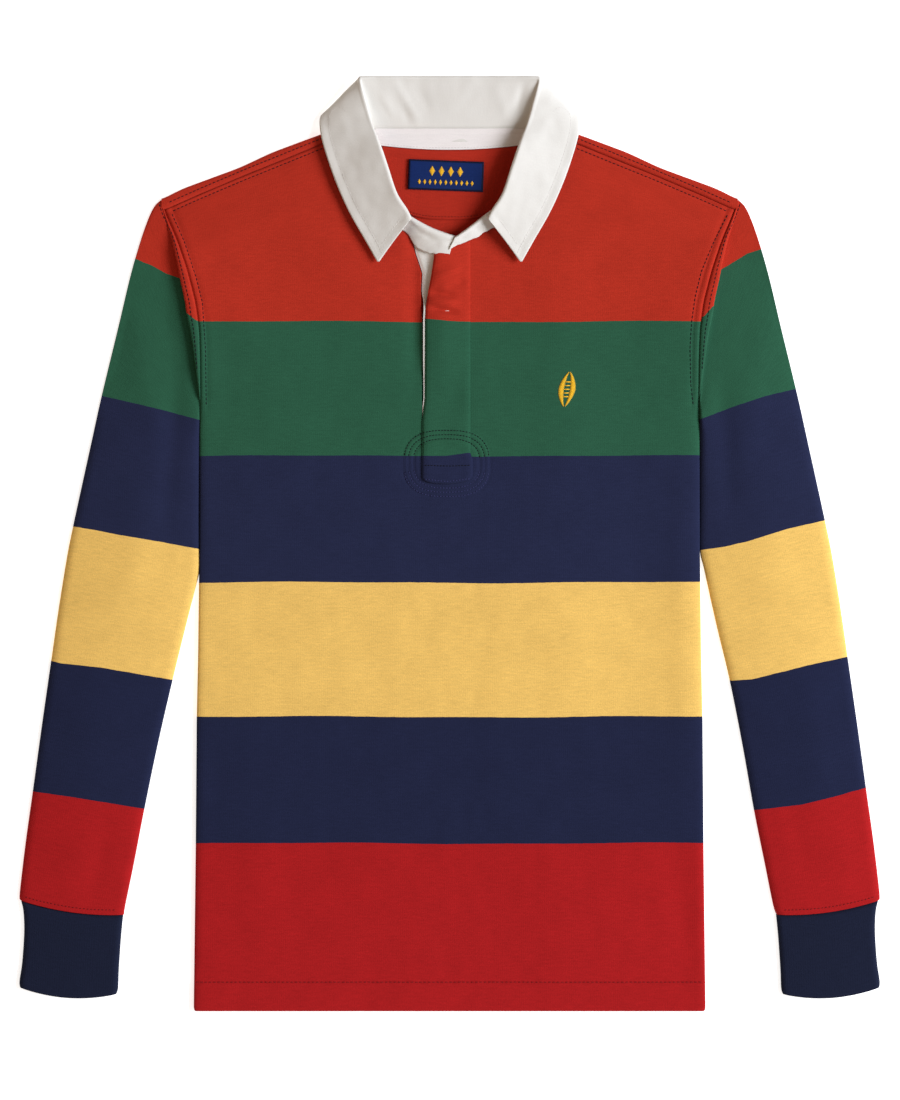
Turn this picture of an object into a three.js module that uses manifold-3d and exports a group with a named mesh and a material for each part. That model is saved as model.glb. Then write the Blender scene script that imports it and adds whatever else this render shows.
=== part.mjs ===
// A long-sleeved rugby shirt in broad stripes, laid flat on its back with its collar folded down.
// Millimetres. +Y runs from the hem to the collar, +Z up from the surface that the shirt lies on.
// Each cut piece of cloth is a closed wall, a seam's width apart from its neighbours.
import * as THREE from 'three';
import { mergeVertices } from 'three/addons/utils/BufferGeometryUtils.js';
import Module from 'manifold-3d';

const wasm = await Module();
wasm.setup();

// Cloth
const JERSEY = 1.4;
const TWILL = 1.2;
const RIB = 2.0;
const LABEL_CLOTH = 1.0;
const SEAM_GAP = 0.3;
const LAY_GAP = 0.3;
// Along a curve the straight steps come closer, so the seam starts a little wider
const CURVE_GAP = 0.4;

// Body: half its width down the side, and the bottom hem
const HEM_Y = -380.8;
const HEM_DEPTH = 23.6;
const HEM_EXTRA = 0.8;
const HEM_STEP = 1.6;
const HEM_CORNER = 4;
const UNDERARM_Y = 100.8;
const CHEST_Y = 240;
const SIDE = [
  { y: -380.8, half: 208.4 },
  { y: -354, half: 208.1 },
  { y: -247, half: 206.8 },
  { y: -142, half: 206.0 },
  { y: -91, half: 204.9 },
  { y: -34, half: 204.2 },
  { y: -5, half: 203.8 },
  { y: 101, half: 203.6 },
];

// Armhole seam, from the shoulder down to the side
const ARMHOLE = [
  { x: 235.5, y: 280.1 },
  { x: 231.3, y: 267.9 },
  { x: 222.2, y: 247.5 },
  { x: 213.9, y: 223.1 },
  { x: 207.0, y: 196.2 },
  { x: 204.2, y: 174.2 },
  { x: 203.6, y: 149.7 },
  { x: 203.6, y: 100.8 },
];

// The panels are first made a little large at the armhole, then trimmed to the seam's curve
const ARMHOLE_MARGIN = { extra: 2, startY: 130, fullY: 175 };
const ARMHOLE_STEPS = 28;

// Shoulder: its fold against the surface, and its seam on the front
const SHOULDER_FOLD = [
  { x: 0, y: 346.1 },
  { x: 70.9, y: 346.1 },
  { x: 104.3, y: 333.9 },
  { x: 145.1, y: 318.8 },
  { x: 171.1, y: 306.6 },
  { x: 217.6, y: 289.5 },
  { x: 235.5, y: 280.4 },
];
const SHOULDER_SEAM = [
  { x: 0, y: 338.8 },
  { x: 70.9, y: 338.8 },
  { x: 104.3, y: 325.3 },
  { x: 164.6, y: 301.0 },
  { x: 203.8, y: 284.4 },
  { x: 233, y: 271.4 },
];

// The folded side edge: the wall's middle turns on this radius
const EDGE_RADIUS = 1.65;
const FADE_GAP = 0.6;
const FADE_LENGTH = 24;
const EDGE_COLUMNS = [
  { angle: 90, flatInset: 0 },
  { angle: 60, flatInset: 1.2 },
  { angle: 30, flatInset: 2.6 },
  { angle: 0, flatInset: 4 },
];
const FULLNESS_COLUMNS = [
  { inset: 9, share: 0.5 },
  { inset: 20, share: 0 },
];
const PANEL_COLUMNS = 8;

// The collar's fall lies under the back neck and lifts the panels there
const NECK_LIFT = 1.6;
const LIFT = { startY: 285, fullY: 325, fullX: 112, endX: 160 };

// Front neckline and placket slit, left half then the slit, as seen from above
const NECKLINE = [
  { x: 73.3, y: 360 },
  { x: 73.3, y: 326.6 },
  { x: 70.1, y: 319.2 },
  { x: 64.4, y: 306.2 },
  { x: 54.6, y: 283.4 },
  { x: 43.2, y: 266.3 },
  { x: 35.0, y: 257.3 },
];
const SLIT_EDGE = [
  { x: -33.5, y: 253.2 },
  { x: -30.6, y: 247.5 },
  { x: -28.3, y: 236.9 },
  { x: -22.9, y: 220.6 },
  { x: -23.5, y: 206.0 },
  { x: -23.1, y: 191.3 },
  { x: -22.2, y: 177.4 },
  { x: -21.7, y: 166.0 },
  { x: -22.5, y: 123.6 },
  { x: -22.5, y: 70.7 },
];
const SLIT_RIGHT_X = 13.4;
const SLIT_TOP_RIGHT_Y = 250;
const UNDERLAP_TOP = 249;
// The back's neck edge, and how far its wrapped-over shoulders are cleared for the collar's stand
const BACK_NECK = { y: 341.6, half: 71, clearY: 330, clearHalf: 73.3, beyondY: 370 };
const CUT_BEYOND = 20;

// Placket flap, left edge down to its boxed end
const FLAP_LEFT = [
  { x: -12.7, y: 239.5 },
  { x: -12.7, y: 234.1 },
  { x: -15.1, y: 218.2 },
  { x: -17.4, y: 206.0 },
  { x: -19.2, y: 193.7 },
  { x: -20.0, y: 183.1 },
  { x: -20.4, y: 166.0 },
  { x: -22.0, y: 123.6 },
  { x: -22.5, y: 73 },
  { x: -22.8, y: 70 },
  { x: -22.8, y: 54 },
  { x: -21.6, y: 51.4 },
  { x: -19, y: 50 },
];
const FLAP_RIGHT = [
  { x: 17.0, y: 247 },
  { x: 17.0, y: 73 },
  { x: 19.0, y: 69 },
  { x: 19.0, y: 55.5 },
  { x: 17.5, y: 52.8 },
  { x: 14, y: 50.6 },
];
const FLAP_SAG = 1.8;
const FLAP_COLUMNS = 8;

// Sleeve sections, from the armhole to the cuff. Each row is the outer fold's x and y, the inner fold's
// x on the left sleeve, its x on the right one and its y, how far the section still follows the armhole's
// curve, its height over the surface, and how much its middle is crowned above that.
const SLEEVE_SECTIONS = [
  [235.0, 280.1, 204.2, 204.2, 112.2, 1, 3.4, 0],
  [240.0, 275.2, 204.2, 204.2, 109.0, 0.94, 3.6, 0.1],
  [245.0, 265.4, 204.2, 204.2, 105.7, 0.85, 3.8, 0.3],
  [251.7, 246.7, 204.2, 204.2, 102.4, 0.68, 4.0, 0.5],
  [260.0, 218.2, 204.2, 204.2, 98.4, 0.45, 4.2, 0.8],
  [269.8, 177.4, 204.2, 204.2, 92.7, 0.2, 4.4, 1.2],
  [283.5, 121.2, 204.2, 204.2, 82.9, 0, 4.4, 1.5],
  [291.8, 83.7, 204.2, 204.2, 60.1, 0, 4.4, 1.5],
  [299.9, 47.0, 204.3, 204.3, 27.5, 0, 4.4, 1.5],
  [307.3, 12.8, 204.4, 204.4, -3.5, 0, 4.4, 1.5],
  [311.7, -9.2, 205.0, 208.4, -25.5, 0, 4.4, 1.5],
  [318.7, -52.4, 215.2, 217.8, -67.9, 0, 4.4, 1.5],
  [324.9, -95.6, 225.8, 228.2, -111.1, 0, 4.4, 1.5],
  [332.5, -148.6, 238.0, 238.7, -164.1, 0, 4.4, 1.4],
  [339.9, -202.4, 249.1, 248.2, -217.8, 0, 4.4, 1.3],
  [345.6, -243.1, 257.1, 256.6, -259.4, 0, 4.4, 1.2],
  [350.4, -283.9, 264.3, 263.7, -294.5, 0, 4.6, 0.9],
  [350.0, -290.4, 265.4, 266.6, -302.2, 0, 4.8, 0.7],
].map(([outerX, outerY, innerX, innerRightX, innerY, armhole, height, crown]) => (
  { outerX, outerY, innerX, innerRightX, innerY, armhole, height, crown }
));
const SLEEVE_END_BOW = 4;

// Cuff sections, from the sleeve seam to the open end
const CUFF_SECTIONS = [
  { outerX: 349.4, outerY: -290.6, innerX: 266.0, innerY: -302.4, bow: 4, height: 4.9, crown: 0.6 },
  { outerX: 347.4, outerY: -299.8, innerX: 266.9, innerY: -310.8, bow: 4, height: 5.2, crown: 0.6 },
  { outerX: 346.8, outerY: -316.5, innerX: 268.1, innerY: -324.6, bow: 4.5, height: 5.2, crown: 0.6 },
  { outerX: 348.4, outerY: -340.9, innerX: 269.6, innerY: -347.4, bow: 5, height: 5.2, crown: 0.6 },
  { outerX: 350.6, outerY: -356.2, innerX: 270.2, innerY: -362.1, bow: 5.5, height: 5.2, crown: 0.6 },
  { outerX: 350.2, outerY: -361.4, innerX: 271.6, innerY: -366.8, bow: 6, height: 5.0, crown: 0.5 },
];

// Collar, half of it, from the front to the middle of the back. seam is where the stand meets the neck,
// fold is its folded edge, belly is the fall's roundest place, and edge is the fall's free edge.
const COLLAR_SECTIONS = [
  { seamX: 40.4, seamY: 257.3, seamZ: 4.1, foldX: 31.5, foldY: 264.6, foldZ: 9.2,
    bellyX: 44.6, bellyY: 247.8, bellyZ: 9.6, edgeX: 57.1, edgeY: 229.6, edgeZ: 4.9 },
  { seamX: 47.3, seamY: 267.1, seamZ: 4.1, foldX: 34.7, foldY: 271.2, foldZ: 10.2,
    bellyX: 51.6, bellyY: 259.3, bellyZ: 10.2, edgeX: 67.6, edgeY: 245.1, edgeZ: 4.7 },
  { seamX: 58.7, seamY: 283.4, seamZ: 4.2, foldX: 43.4, foldY: 285.0, foldZ: 11.6,
    bellyX: 62.7, bellyY: 278.3, bellyZ: 11.2, edgeX: 81.1, edgeY: 268.7, edgeZ: 4.7 },
  { seamX: 68.5, seamY: 307.8, seamZ: 5.2, foldX: 50.8, foldY: 307.0, foldZ: 13.0,
    bellyX: 71.8, bellyY: 301.7, bellyZ: 12.6, edgeX: 91.8, edgeY: 292.3, edgeZ: 5.2 },
  { seamX: 71.3, seamY: 323.3, seamZ: 6.0, foldX: 56.6, foldY: 324.1, foldZ: 14.0,
    bellyX: 79.5, bellyY: 324.0, bellyZ: 13.6, edgeX: 100.7, edgeY: 317.5, edgeZ: 6.4 },
  { seamX: 69.7, seamY: 330.6, seamZ: 5.6, foldX: 63.6, foldY: 342.1, foldZ: 14.7,
    bellyX: 86.2, bellyY: 345.2, bellyZ: 13.2, edgeX: 105.4, edgeY: 336.6, edgeZ: 6.2 },
  { seamX: 65.2, seamY: 334.7, seamZ: 4.1, foldX: 68.5, foldY: 358.4, foldZ: 15.2,
    bellyX: 90.5, bellyY: 360.4, bellyZ: 11.0, edgeX: 104.4, edgeY: 349.0, edgeZ: 3.4 },
  { seamX: 61.5, seamY: 336.8, seamZ: 4.0, foldX: 72.1, foldY: 371.4, foldZ: 15.0,
    bellyX: 88.4, bellyY: 372.4, bellyZ: 6.0, edgeX: 94.6, edgeY: 350.0, edgeZ: 0.7 },
  { seamX: 57.0, seamY: 337.3, seamZ: 4.0, foldX: 73.2, foldY: 378.4, foldZ: 14.4,
    bellyX: 77.6, bellyY: 378.0, bellyZ: -1.0, edgeX: 82.4, edgeY: 341.0, edgeZ: 0.6 },
  { seamX: 52.2, seamY: 337.6, seamZ: 4.0, foldX: 69.1, foldY: 379.7, foldZ: 13.6,
    bellyX: 70.2, bellyY: 376.0, bellyZ: -3.0, edgeX: 73.0, edgeY: 334.5, edgeZ: 0.6 },
  { seamX: 44.0, seamY: 337.6, seamZ: 4.0, foldX: 57.0, foldY: 379.9, foldZ: 12.6,
    bellyX: 57.4, bellyY: 374.6, bellyZ: -3.0, edgeX: 58.7, edgeY: 329.8, edgeZ: 0.6 },
  { seamX: 29.3, seamY: 337.6, seamZ: 4.0, foldX: 36.7, foldY: 379.9, foldZ: 12.0,
    bellyX: 36.9, bellyY: 374.4, bellyZ: -3.0, edgeX: 37.5, edgeY: 328.2, edgeZ: 0.6 },
  { seamX: 13.9, seamY: 337.6, seamZ: 4.0, foldX: 16.3, foldY: 379.9, foldZ: 12.0,
    bellyX: 16.5, bellyY: 374.4, bellyZ: -3.0, edgeX: 17.1, edgeY: 327.4, edgeZ: 0.6 },
];
const COLLAR_CENTRE = { x: 0, seamY: 337.6, seamZ: 4.0, foldY: 379.9, foldZ: 12.0,
  bellyY: 374.4, bellyZ: -3.0, edgeY: 327.4, edgeZ: 0.6 };
const FOLD_RADIUS = 1.5;
const COLLAR_STATIONS = 56;
const STAND_STEPS = 3;
const ROLL_STEPS = 4;
const FALL_STEPS = 6;

// Front ends of the stand, which close the neck over the placket
const BAND_LEFT = [
  { topX: -34.6, topY: 268.6, topZ: 9.4, lowX: -43.0, lowY: 261.0, lowZ: 4.4 },
  { topX: -31.0, topY: 264.4, topZ: 9.2, lowX: -38.2, lowY: 254.6, lowZ: 4.4 },
  { topX: -22.5, topY: 258.7, topZ: 8.8, lowX: -30.4, lowY: 246.6, lowZ: 4.4 },
  { topX: -12.7, topY: 253.8, topZ: 8.3, lowX: -19.6, lowY: 239.0, lowZ: 5.0 },
  { topX: -5.0, topY: 250.6, topZ: 8.0, lowX: -10.0, lowY: 234.6, lowZ: 5.7 },
  { topX: -0.6, topY: 249.0, topZ: 7.9, lowX: -1.4, lowY: 233.6, lowZ: 5.8 },
];
const BAND_RIGHT = [
  { topX: 35.4, topY: 269.6, topZ: 9.4, lowX: 43.0, lowY: 261.0, lowZ: 4.6 },
  { topX: 31.4, topY: 266.4, topZ: 9.2, lowX: 35.6, lowY: 255.0, lowZ: 4.8 },
  { topX: 20.9, topY: 259.0, topZ: 8.9, lowX: 20.0, lowY: 244.6, lowZ: 5.8 },
  { topX: 10.5, topY: 252.9, topZ: 8.6, lowX: 8.6, lowY: 240.0, lowZ: 5.9 },
  { topX: 4.0, topY: 249.6, topZ: 8.5, lowX: 3.2, lowY: 239.8, lowZ: 6.0 },
  { topX: 0.2, topY: 248.6, topZ: 8.4, lowX: -0.2, lowY: 240.4, lowZ: 6.0 },
];
const BAND_STEPS = 4;

// Inside the back neck
const TAPE = { half: 60, top: 336.4, bottom: 321.0, sideRise: 4.2, columns: 12 };
const PATCH = { half: 55.4, depth: 56.4, power: 3.4, reach: 0.985, columns: 20 };
const LABEL = { x: -3.0, y: 299.9, width: 61.4, height: 24.6, turn: -2.2 };

const COLOURS = {
  navy: 0x22253c,
  crimson: 0x9d1a1b,
  red: 0xb2362a,
  white: 0xe8e5e2,
  blue: 0x1e2f66,
  rib: 0x1e2233,
};

// Basic functions
function smooth(from, to, value) {
  const share = THREE.MathUtils.clamp((value - from) / (to - from), 0, 1);
  return share * share * (3 - 2 * share);
}

function mix(from, to, share) {
  return from + (to - from) * share;
}

// Reads one column of a table at a place along another column, in straight steps
function readTable(table, along, column, place) {
  const rising = table[table.length - 1][along] > table[0][along];
  const rows = rising ? table : [...table].reverse();
  const last = rows.length - 1;
  if (place <= rows[0][along]) {
    return rows[0][column];
  }
  for (let row = 0; row < last; row += 1) {
    const [low, high] = [rows[row], rows[row + 1]];
    if (place <= high[along]) {
      return mix(low[column], high[column], (place - low[along]) / (high[along] - low[along]));
    }
  }
  return rows[last][column];
}

function curveThrough(points) {
  return new THREE.CatmullRomCurve3(points, false, 'centripetal');
}

// Heights of the layers over the surface
function liftAt(x, y) {
  return NECK_LIFT * smooth(LIFT.startY, LIFT.fullY, y) * (1 - smooth(LIFT.fullX, LIFT.endX, Math.abs(x)));
}

function panelThickness(y) {
  const hemLine = HEM_Y + HEM_DEPTH;
  return JERSEY + HEM_EXTRA * (1 - smooth(hemLine - HEM_STEP, hemLine + HEM_STEP, y));
}

function backTop(x, y) {
  return liftAt(x, y) + panelThickness(y);
}

function frontTop(x, y) {
  return backTop(x, y) + LAY_GAP + panelThickness(y);
}

// Closed solids. outer and inner are grids of points, row by row; closed grids join their last
// column to their first.
function shellGeometry(outer, inner, closed) {
  const rows = outer.length;
  const columns = outer[0].length;
  const positions = [];
  for (const grid of [outer, inner]) {
    for (const row of grid) {
      row.forEach((point) => positions.push(point.x, point.y, point.z));
    }
  }
  const at = (side, row, column) => side * rows * columns + row * columns + (column % columns);
  const faces = [];
  const quad = (a, b, c, d) => faces.push(a, b, c, a, c, d);
  const steps = closed ? columns : columns - 1;
  for (let row = 0; row < rows - 1; row += 1) {
    for (let column = 0; column < steps; column += 1) {
      quad(at(0, row, column), at(0, row + 1, column), at(0, row + 1, column + 1), at(0, row, column + 1));
      quad(at(1, row, column + 1), at(1, row + 1, column + 1), at(1, row + 1, column), at(1, row, column));
    }
  }
  for (let column = 0; column < steps; column += 1) {
    const end = rows - 1;
    quad(at(0, 0, column), at(0, 0, column + 1), at(1, 0, column + 1), at(1, 0, column));
    quad(at(0, end, column + 1), at(0, end, column), at(1, end, column), at(1, end, column + 1));
  }
  if (!closed) {
    const end = columns - 1;
    for (let row = 0; row < rows - 1; row += 1) {
      quad(at(0, row + 1, 0), at(0, row, 0), at(1, row, 0), at(1, row + 1, 0));
      quad(at(0, row, end), at(0, row + 1, end), at(1, row + 1, end), at(1, row, end));
    }
  }
  return faceOutwards(positions, faces);
}

function faceOutwards(positions, faces) {
  let volume = 0;
  const corner = (index) => new THREE.Vector3().fromArray(positions, 3 * index);
  for (let face = 0; face < faces.length; face += 3) {
    const [a, b, c] = [corner(faces[face]), corner(faces[face + 1]), corner(faces[face + 2])];
    volume += a.dot(b.cross(c)) / 6;
  }
  if (volume < 0) {
    for (let face = 0; face < faces.length; face += 3) {
      [faces[face], faces[face + 1]] = [faces[face + 1], faces[face]];
    }
  }
  const geometry = new THREE.BufferGeometry();
  geometry.setAttribute('position', new THREE.Float32BufferAttribute(positions, 3));
  geometry.setIndex(faces);
  return geometry;
}

// A wall about its middle surface: each place has a point, the way out and a thickness
function wallGeometry(rows) {
  const side = (sign) => rows.map((row) => row.map(({ point, out, thick }) => (
    point.clone().addScaledVector(out, sign * thick / 2)
  )));
  return shellGeometry(side(1), side(-1), false);
}

// A wall that lies flat: its underside is given at each place
function layeredGeometry(rows, underside, thick) {
  const grid = (extra) => rows.map((row) => row.map(({ x, y }) => (
    new THREE.Vector3(x, y, underside(x, y) + extra)
  )));
  return shellGeometry(grid(thick), grid(0), false);
}

// Ways out of a middle surface, from its neighbours' places
function wallFromMiddle(middle, thick) {
  const rows = middle.length;
  const columns = middle[0].length;
  const near = (value, most) => THREE.MathUtils.clamp(value, 0, most - 1);
  return wallGeometry(middle.map((row, i) => row.map((point, j) => {
    const along = middle[near(i + 1, rows)][j].clone().sub(middle[near(i - 1, rows)][j]);
    const across = middle[i][near(j + 1, columns)].clone().sub(middle[i][near(j - 1, columns)]);
    return { point, out: along.cross(across).normalize(), thick };
  })));
}

function toManifold(geometry) {
  const bare = new THREE.BufferGeometry();
  bare.setAttribute('position', geometry.getAttribute('position').clone());
  bare.setIndex(geometry.getIndex() ? geometry.getIndex().clone() : null);
  const merged = mergeVertices(bare, 1e-4);
  const mesh = new wasm.Mesh({
    numProp: 3,
    vertProperties: new Float32Array(merged.getAttribute('position').array),
    triVerts: new Uint32Array(merged.getIndex().array),
  });
  return new wasm.Manifold(mesh);
}

function fromManifold(solid) {
  const mesh = solid.getMesh();
  const geometry = new THREE.BufferGeometry();
  geometry.setAttribute('position', new THREE.BufferAttribute(new Float32Array(mesh.vertProperties), 3));
  geometry.setIndex(new THREE.BufferAttribute(new Uint32Array(mesh.triVerts), 1));
  return geometry;
}

function cut(geometry, ...cutters) {
  const solid = cutters.reduce((left, cutter) => left.subtract(toManifold(cutter)), toManifold(geometry));
  return fromManifold(solid);
}

function join(first, ...others) {
  return fromManifold(others.reduce((left, other) => left.add(toManifold(other)), toManifold(first)));
}

// An upright block over an outline, to cut with: it runs past the cloth unless low is given
function prism(outline, low = -CUT_BEYOND) {
  const shape = new THREE.Shape(outline.map(({ x, y }) => new THREE.Vector2(x, y)));
  const geometry = new THREE.ExtrudeGeometry(shape, { depth: CUT_BEYOND - low, bevelEnabled: false });
  return geometry.translate(0, 0, low);
}

// Body panels. A column's place across a row, its angle round the side edge, and its share of fullness
function panelColumns(half, curl, thick) {
  const edges = EDGE_COLUMNS.map(({ angle, flatInset }) => {
    const turn = THREE.MathUtils.degToRad(angle);
    const curledInset = thick / 2 + EDGE_RADIUS * (1 - Math.sin(turn));
    return { x: half - mix(flatInset, curledInset, curl), turn, curl };
  });
  const full = FULLNESS_COLUMNS.map(({ inset, share }) => ({ x: half - inset, turn: 0, curl, share }));
  const right = [...edges, ...full];
  const innermost = right[right.length - 1].x;
  const middle = [];
  for (let step = 1; step < PANEL_COLUMNS; step += 1) {
    middle.push({ x: mix(innermost, -innermost, step / PANEL_COLUMNS), turn: 0, curl: 0, share: 0 });
  }
  const left = [...right].reverse().map((column) => ({ ...column, x: -column.x }));
  return [...right, ...middle, ...left];
}

function panelPoint(column, y, layer) {
  const thick = panelThickness(y);
  const flatZ = layer === 'back' ? liftAt(column.x, y) + thick / 2 : frontTop(column.x, y) - thick / 2;
  const up = layer === 'back' ? -1 : 1;
  const centreZ = thick / 2 + EDGE_RADIUS + (layer === 'back' ? 0 : SEAM_GAP);
  const share = column.share ?? 1;
  const curledZ = centreZ + up * EDGE_RADIUS * Math.cos(column.turn);
  const apart = up * FADE_GAP * column.curl * (1 - column.curl) * Math.sin(column.turn);
  const z = mix(flatZ, curledZ, column.curl * share) + apart;
  const side = Math.sign(column.x) * Math.sin(column.turn) * column.curl;
  const out = new THREE.Vector3(side, 0, up * (1 - column.curl * (1 - Math.cos(column.turn)))).normalize();
  return { point: new THREE.Vector3(column.x, y, z), out, thick };
}

// Half the width of a row on the side of the body, round the hem's corner
function sideHalf(y) {
  const above = y - HEM_Y;
  const short = Math.max(HEM_CORNER - above, 0);
  return readTable(SIDE, 'y', 'half', y) - (HEM_CORNER - Math.sqrt(HEM_CORNER ** 2 - short ** 2));
}

// Rows of the panels below the chest, closer at the hem's corner and its step, and at the underarm
const HEM_ROWS = [0, 0.6, 2, HEM_CORNER, 12, HEM_DEPTH - HEM_STEP, HEM_DEPTH, HEM_DEPTH + HEM_STEP];
const LOWER_ROWS = [
  ...HEM_ROWS.map((above) => HEM_Y + above),
  -330, -290, -247, -195, -142, -91, -34, -5, 40, 75, UNDERARM_Y, 112, 124, 150, 174, 196, 223,
];
const UPPER_SHARES = [0, 0.2, 0.35, 0.45, 0.55, 0.65, 0.75, 0.85, 0.93, 1];

function armholeHalf(y) {
  const { extra, startY, fullY } = ARMHOLE_MARGIN;
  return readTable(ARMHOLE, 'y', 'x', y) + extra * smooth(startY, fullY, y);
}

function lowerPanelRow(y, layer) {
  const half = y <= UNDERARM_Y ? sideHalf(y) : armholeHalf(y);
  const curl = 1 - smooth(UNDERARM_Y, UNDERARM_Y + FADE_LENGTH, y);
  return panelColumns(half, curl, panelThickness(y)).map((column) => panelPoint(column, y, layer));
}

// Rows of the yoke lean from level at the chest to the shoulder's slope
function upperPanelRow(share, topTable, layer) {
  const heightAt = (x) => mix(CHEST_Y, readTable(topTable, 'x', 'y', Math.abs(x)), share);
  let half = armholeHalf(CHEST_Y);
  for (let round = 0; round < 8; round += 1) {
    half = armholeHalf(heightAt(half));
  }
  return panelColumns(half, 0, JERSEY).map((column) => panelPoint(column, heightAt(column.x), layer));
}

function armholeCutters() {
  const curve = curveThrough(ARMHOLE.map(({ x, y }) => new THREE.Vector3(x, y, 0)));
  const seam = curve.getPoints(ARMHOLE_STEPS).map(({ x, y }) => ({ x, y }));
  const beyondX = ARMHOLE[0].x + CUT_BEYOND;
  const beyondY = ARMHOLE[0].y + CUT_BEYOND;
  const outline = [
    { x: ARMHOLE[0].x + 1, y: beyondY },
    ...seam,
    { x: beyondX, y: UNDERARM_Y },
    { x: beyondX, y: beyondY },
  ];
  return [outline, outline.map(({ x, y }) => ({ x: -x, y }))].map((points) => prism(points));
}

function frontPanel() {
  const rows = [
    ...LOWER_ROWS.map((y) => lowerPanelRow(y, 'front')),
    ...UPPER_SHARES.map((share) => upperPanelRow(share, SHOULDER_SEAM, 'front')),
  ];
  const left = NECKLINE.map(({ x, y }) => ({ x: -x, y }));
  const slitRight = [SLIT_EDGE.at(-1).y, SLIT_TOP_RIGHT_Y].map((y) => ({ x: SLIT_RIGHT_X, y }));
  const hole = [...left, ...SLIT_EDGE, ...slitRight, ...[...NECKLINE].reverse()];
  return cut(wallGeometry(rows), prism(hole), ...armholeCutters());
}

// The back's shoulders fold forward over the front, as far as the shoulder seam
function backPanel() {
  const turnRadius = (JERSEY + LAY_GAP) / 2;
  const foldTable = SHOULDER_FOLD.map(({ x, y }) => ({ x, y: y - turnRadius - JERSEY / 2 }));
  const rows = [
    ...LOWER_ROWS.map((y) => lowerPanelRow(y, 'back')),
    ...UPPER_SHARES.map((share) => upperPanelRow(share, foldTable, 'back')),
  ];
  const top = rows[rows.length - 1];
  for (const angle of [45, 90, 135, 180]) {
    const turn = THREE.MathUtils.degToRad(angle);
    rows.push(top.map(({ point }) => ({
      point: new THREE.Vector3(
        point.x,
        point.y + turnRadius * Math.sin(turn),
        point.z + turnRadius * (1 - Math.cos(turn)),
      ),
      out: new THREE.Vector3(0, Math.sin(turn), -Math.cos(turn)),
      thick: JERSEY,
    })));
  }
  rows.push(top.map(({ point }) => ({
    point: new THREE.Vector3(
      point.x,
      readTable(SHOULDER_SEAM, 'x', 'y', Math.abs(point.x)) + CURVE_GAP,
      point.z + 2 * turnRadius,
    ),
    out: new THREE.Vector3(0, 0, 1),
    thick: JERSEY,
  })));
  const block = (half, y) => [
    { x: -half, y },
    { x: half, y },
    { x: half, y: BACK_NECK.beyondY },
    { x: -half, y: BACK_NECK.beyondY },
  ];
  const neck = prism(block(BACK_NECK.half, BACK_NECK.y));
  const wrap = prism(block(BACK_NECK.clearHalf, BACK_NECK.clearY), NECK_LIFT + JERSEY + LAY_GAP / 2);
  return cut(wallGeometry(rows), neck, wrap, ...armholeCutters());
}

// Sleeves and cuffs are tubes laid flat: a section is two layers with a round fold at each side
const SECTION_SHARES = [0.05, 0.1, 0.2, 0.34, 0.5, 0.66, 0.8, 0.92];
const SECTION_ANGLES = [-90, -45, 0, 45, 90];

function sectionProfile(width, height, crown, inset) {
  const radius = height / 2;
  const profile = [];
  const foldPoint = (angle, side) => {
    const turn = THREE.MathUtils.degToRad(angle);
    const reach = radius - (radius - inset) * Math.cos(turn);
    const z = radius + (radius - inset) * Math.sin(turn);
    profile.push({ along: side > 0 ? width - reach : reach, z });
  };
  SECTION_ANGLES.forEach((angle) => foldPoint(angle, -1));
  SECTION_SHARES.forEach((share) => {
    profile.push({ along: share * width, z: height + crown * (1 - (2 * share - 1) ** 2) - inset });
  });
  [...SECTION_ANGLES].reverse().forEach((angle) => foldPoint(angle, 1));
  [...SECTION_SHARES].reverse().forEach((share) => profile.push({ along: share * width, z: inset }));
  return profile;
}

function tubeGeometry(sections, thick, place) {
  const grid = (inset) => sections.map((section) => {
    const width = Math.hypot(section.outerX - section.innerX, section.outerY - section.innerY);
    return sectionProfile(width, section.height, section.crown, inset).map(({ along, z }) => {
      const { x, y } = place(section, along / width);
      return new THREE.Vector3(x, y, z);
    });
  });
  return shellGeometry(grid(0), grid(thick), true);
}

function straightPlace(section, share) {
  return {
    x: mix(section.outerX, section.innerX, share),
    y: mix(section.outerY, section.innerY, share),
  };
}

const armholeCurve = curveThrough(ARMHOLE.map(({ x, y }) => new THREE.Vector3(x + CURVE_GAP, y, 0)));

function bowShape(share) {
  return Math.sin(Math.PI * share) ** 0.8;
}

// A sleeve's first section runs along the armhole, and its last one bows down to the cuff
function sleeve(side) {
  const sections = SLEEVE_SECTIONS.map((row) => (side > 0 ? { ...row, innerX: row.innerRightX } : row));
  const first = sections[0];
  const last = sections.length - 1;
  const place = (section, share) => {
    const straight = straightPlace(section, share);
    const start = straightPlace(first, share);
    const y = start.y;
    const seamX = armholeX(y);
    const bow = SLEEVE_END_BOW * bowShape(share) * smooth(last - 3, last, sections.indexOf(section));
    return {
      x: side * (straight.x + section.armhole * (seamX - start.x)),
      y: straight.y - bow,
    };
  };
  return tubeGeometry(sections, JERSEY, place);
}

function armholeX(y) {
  let low = 0;
  let high = 1;
  for (let step = 0; step < 24; step += 1) {
    const middle = (low + high) / 2;
    if (armholeCurve.getPoint(middle).y > y) {
      low = middle;
    } else {
      high = middle;
    }
  }
  return armholeCurve.getPoint(low).x;
}

function cuff(side) {
  const place = (section, share) => {
    const { x, y } = straightPlace(section, share);
    return { x: side * x, y: y - CURVE_GAP - section.bow * bowShape(share) };
  };
  return tubeGeometry(CUFF_SECTIONS, RIB, place);
}

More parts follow.
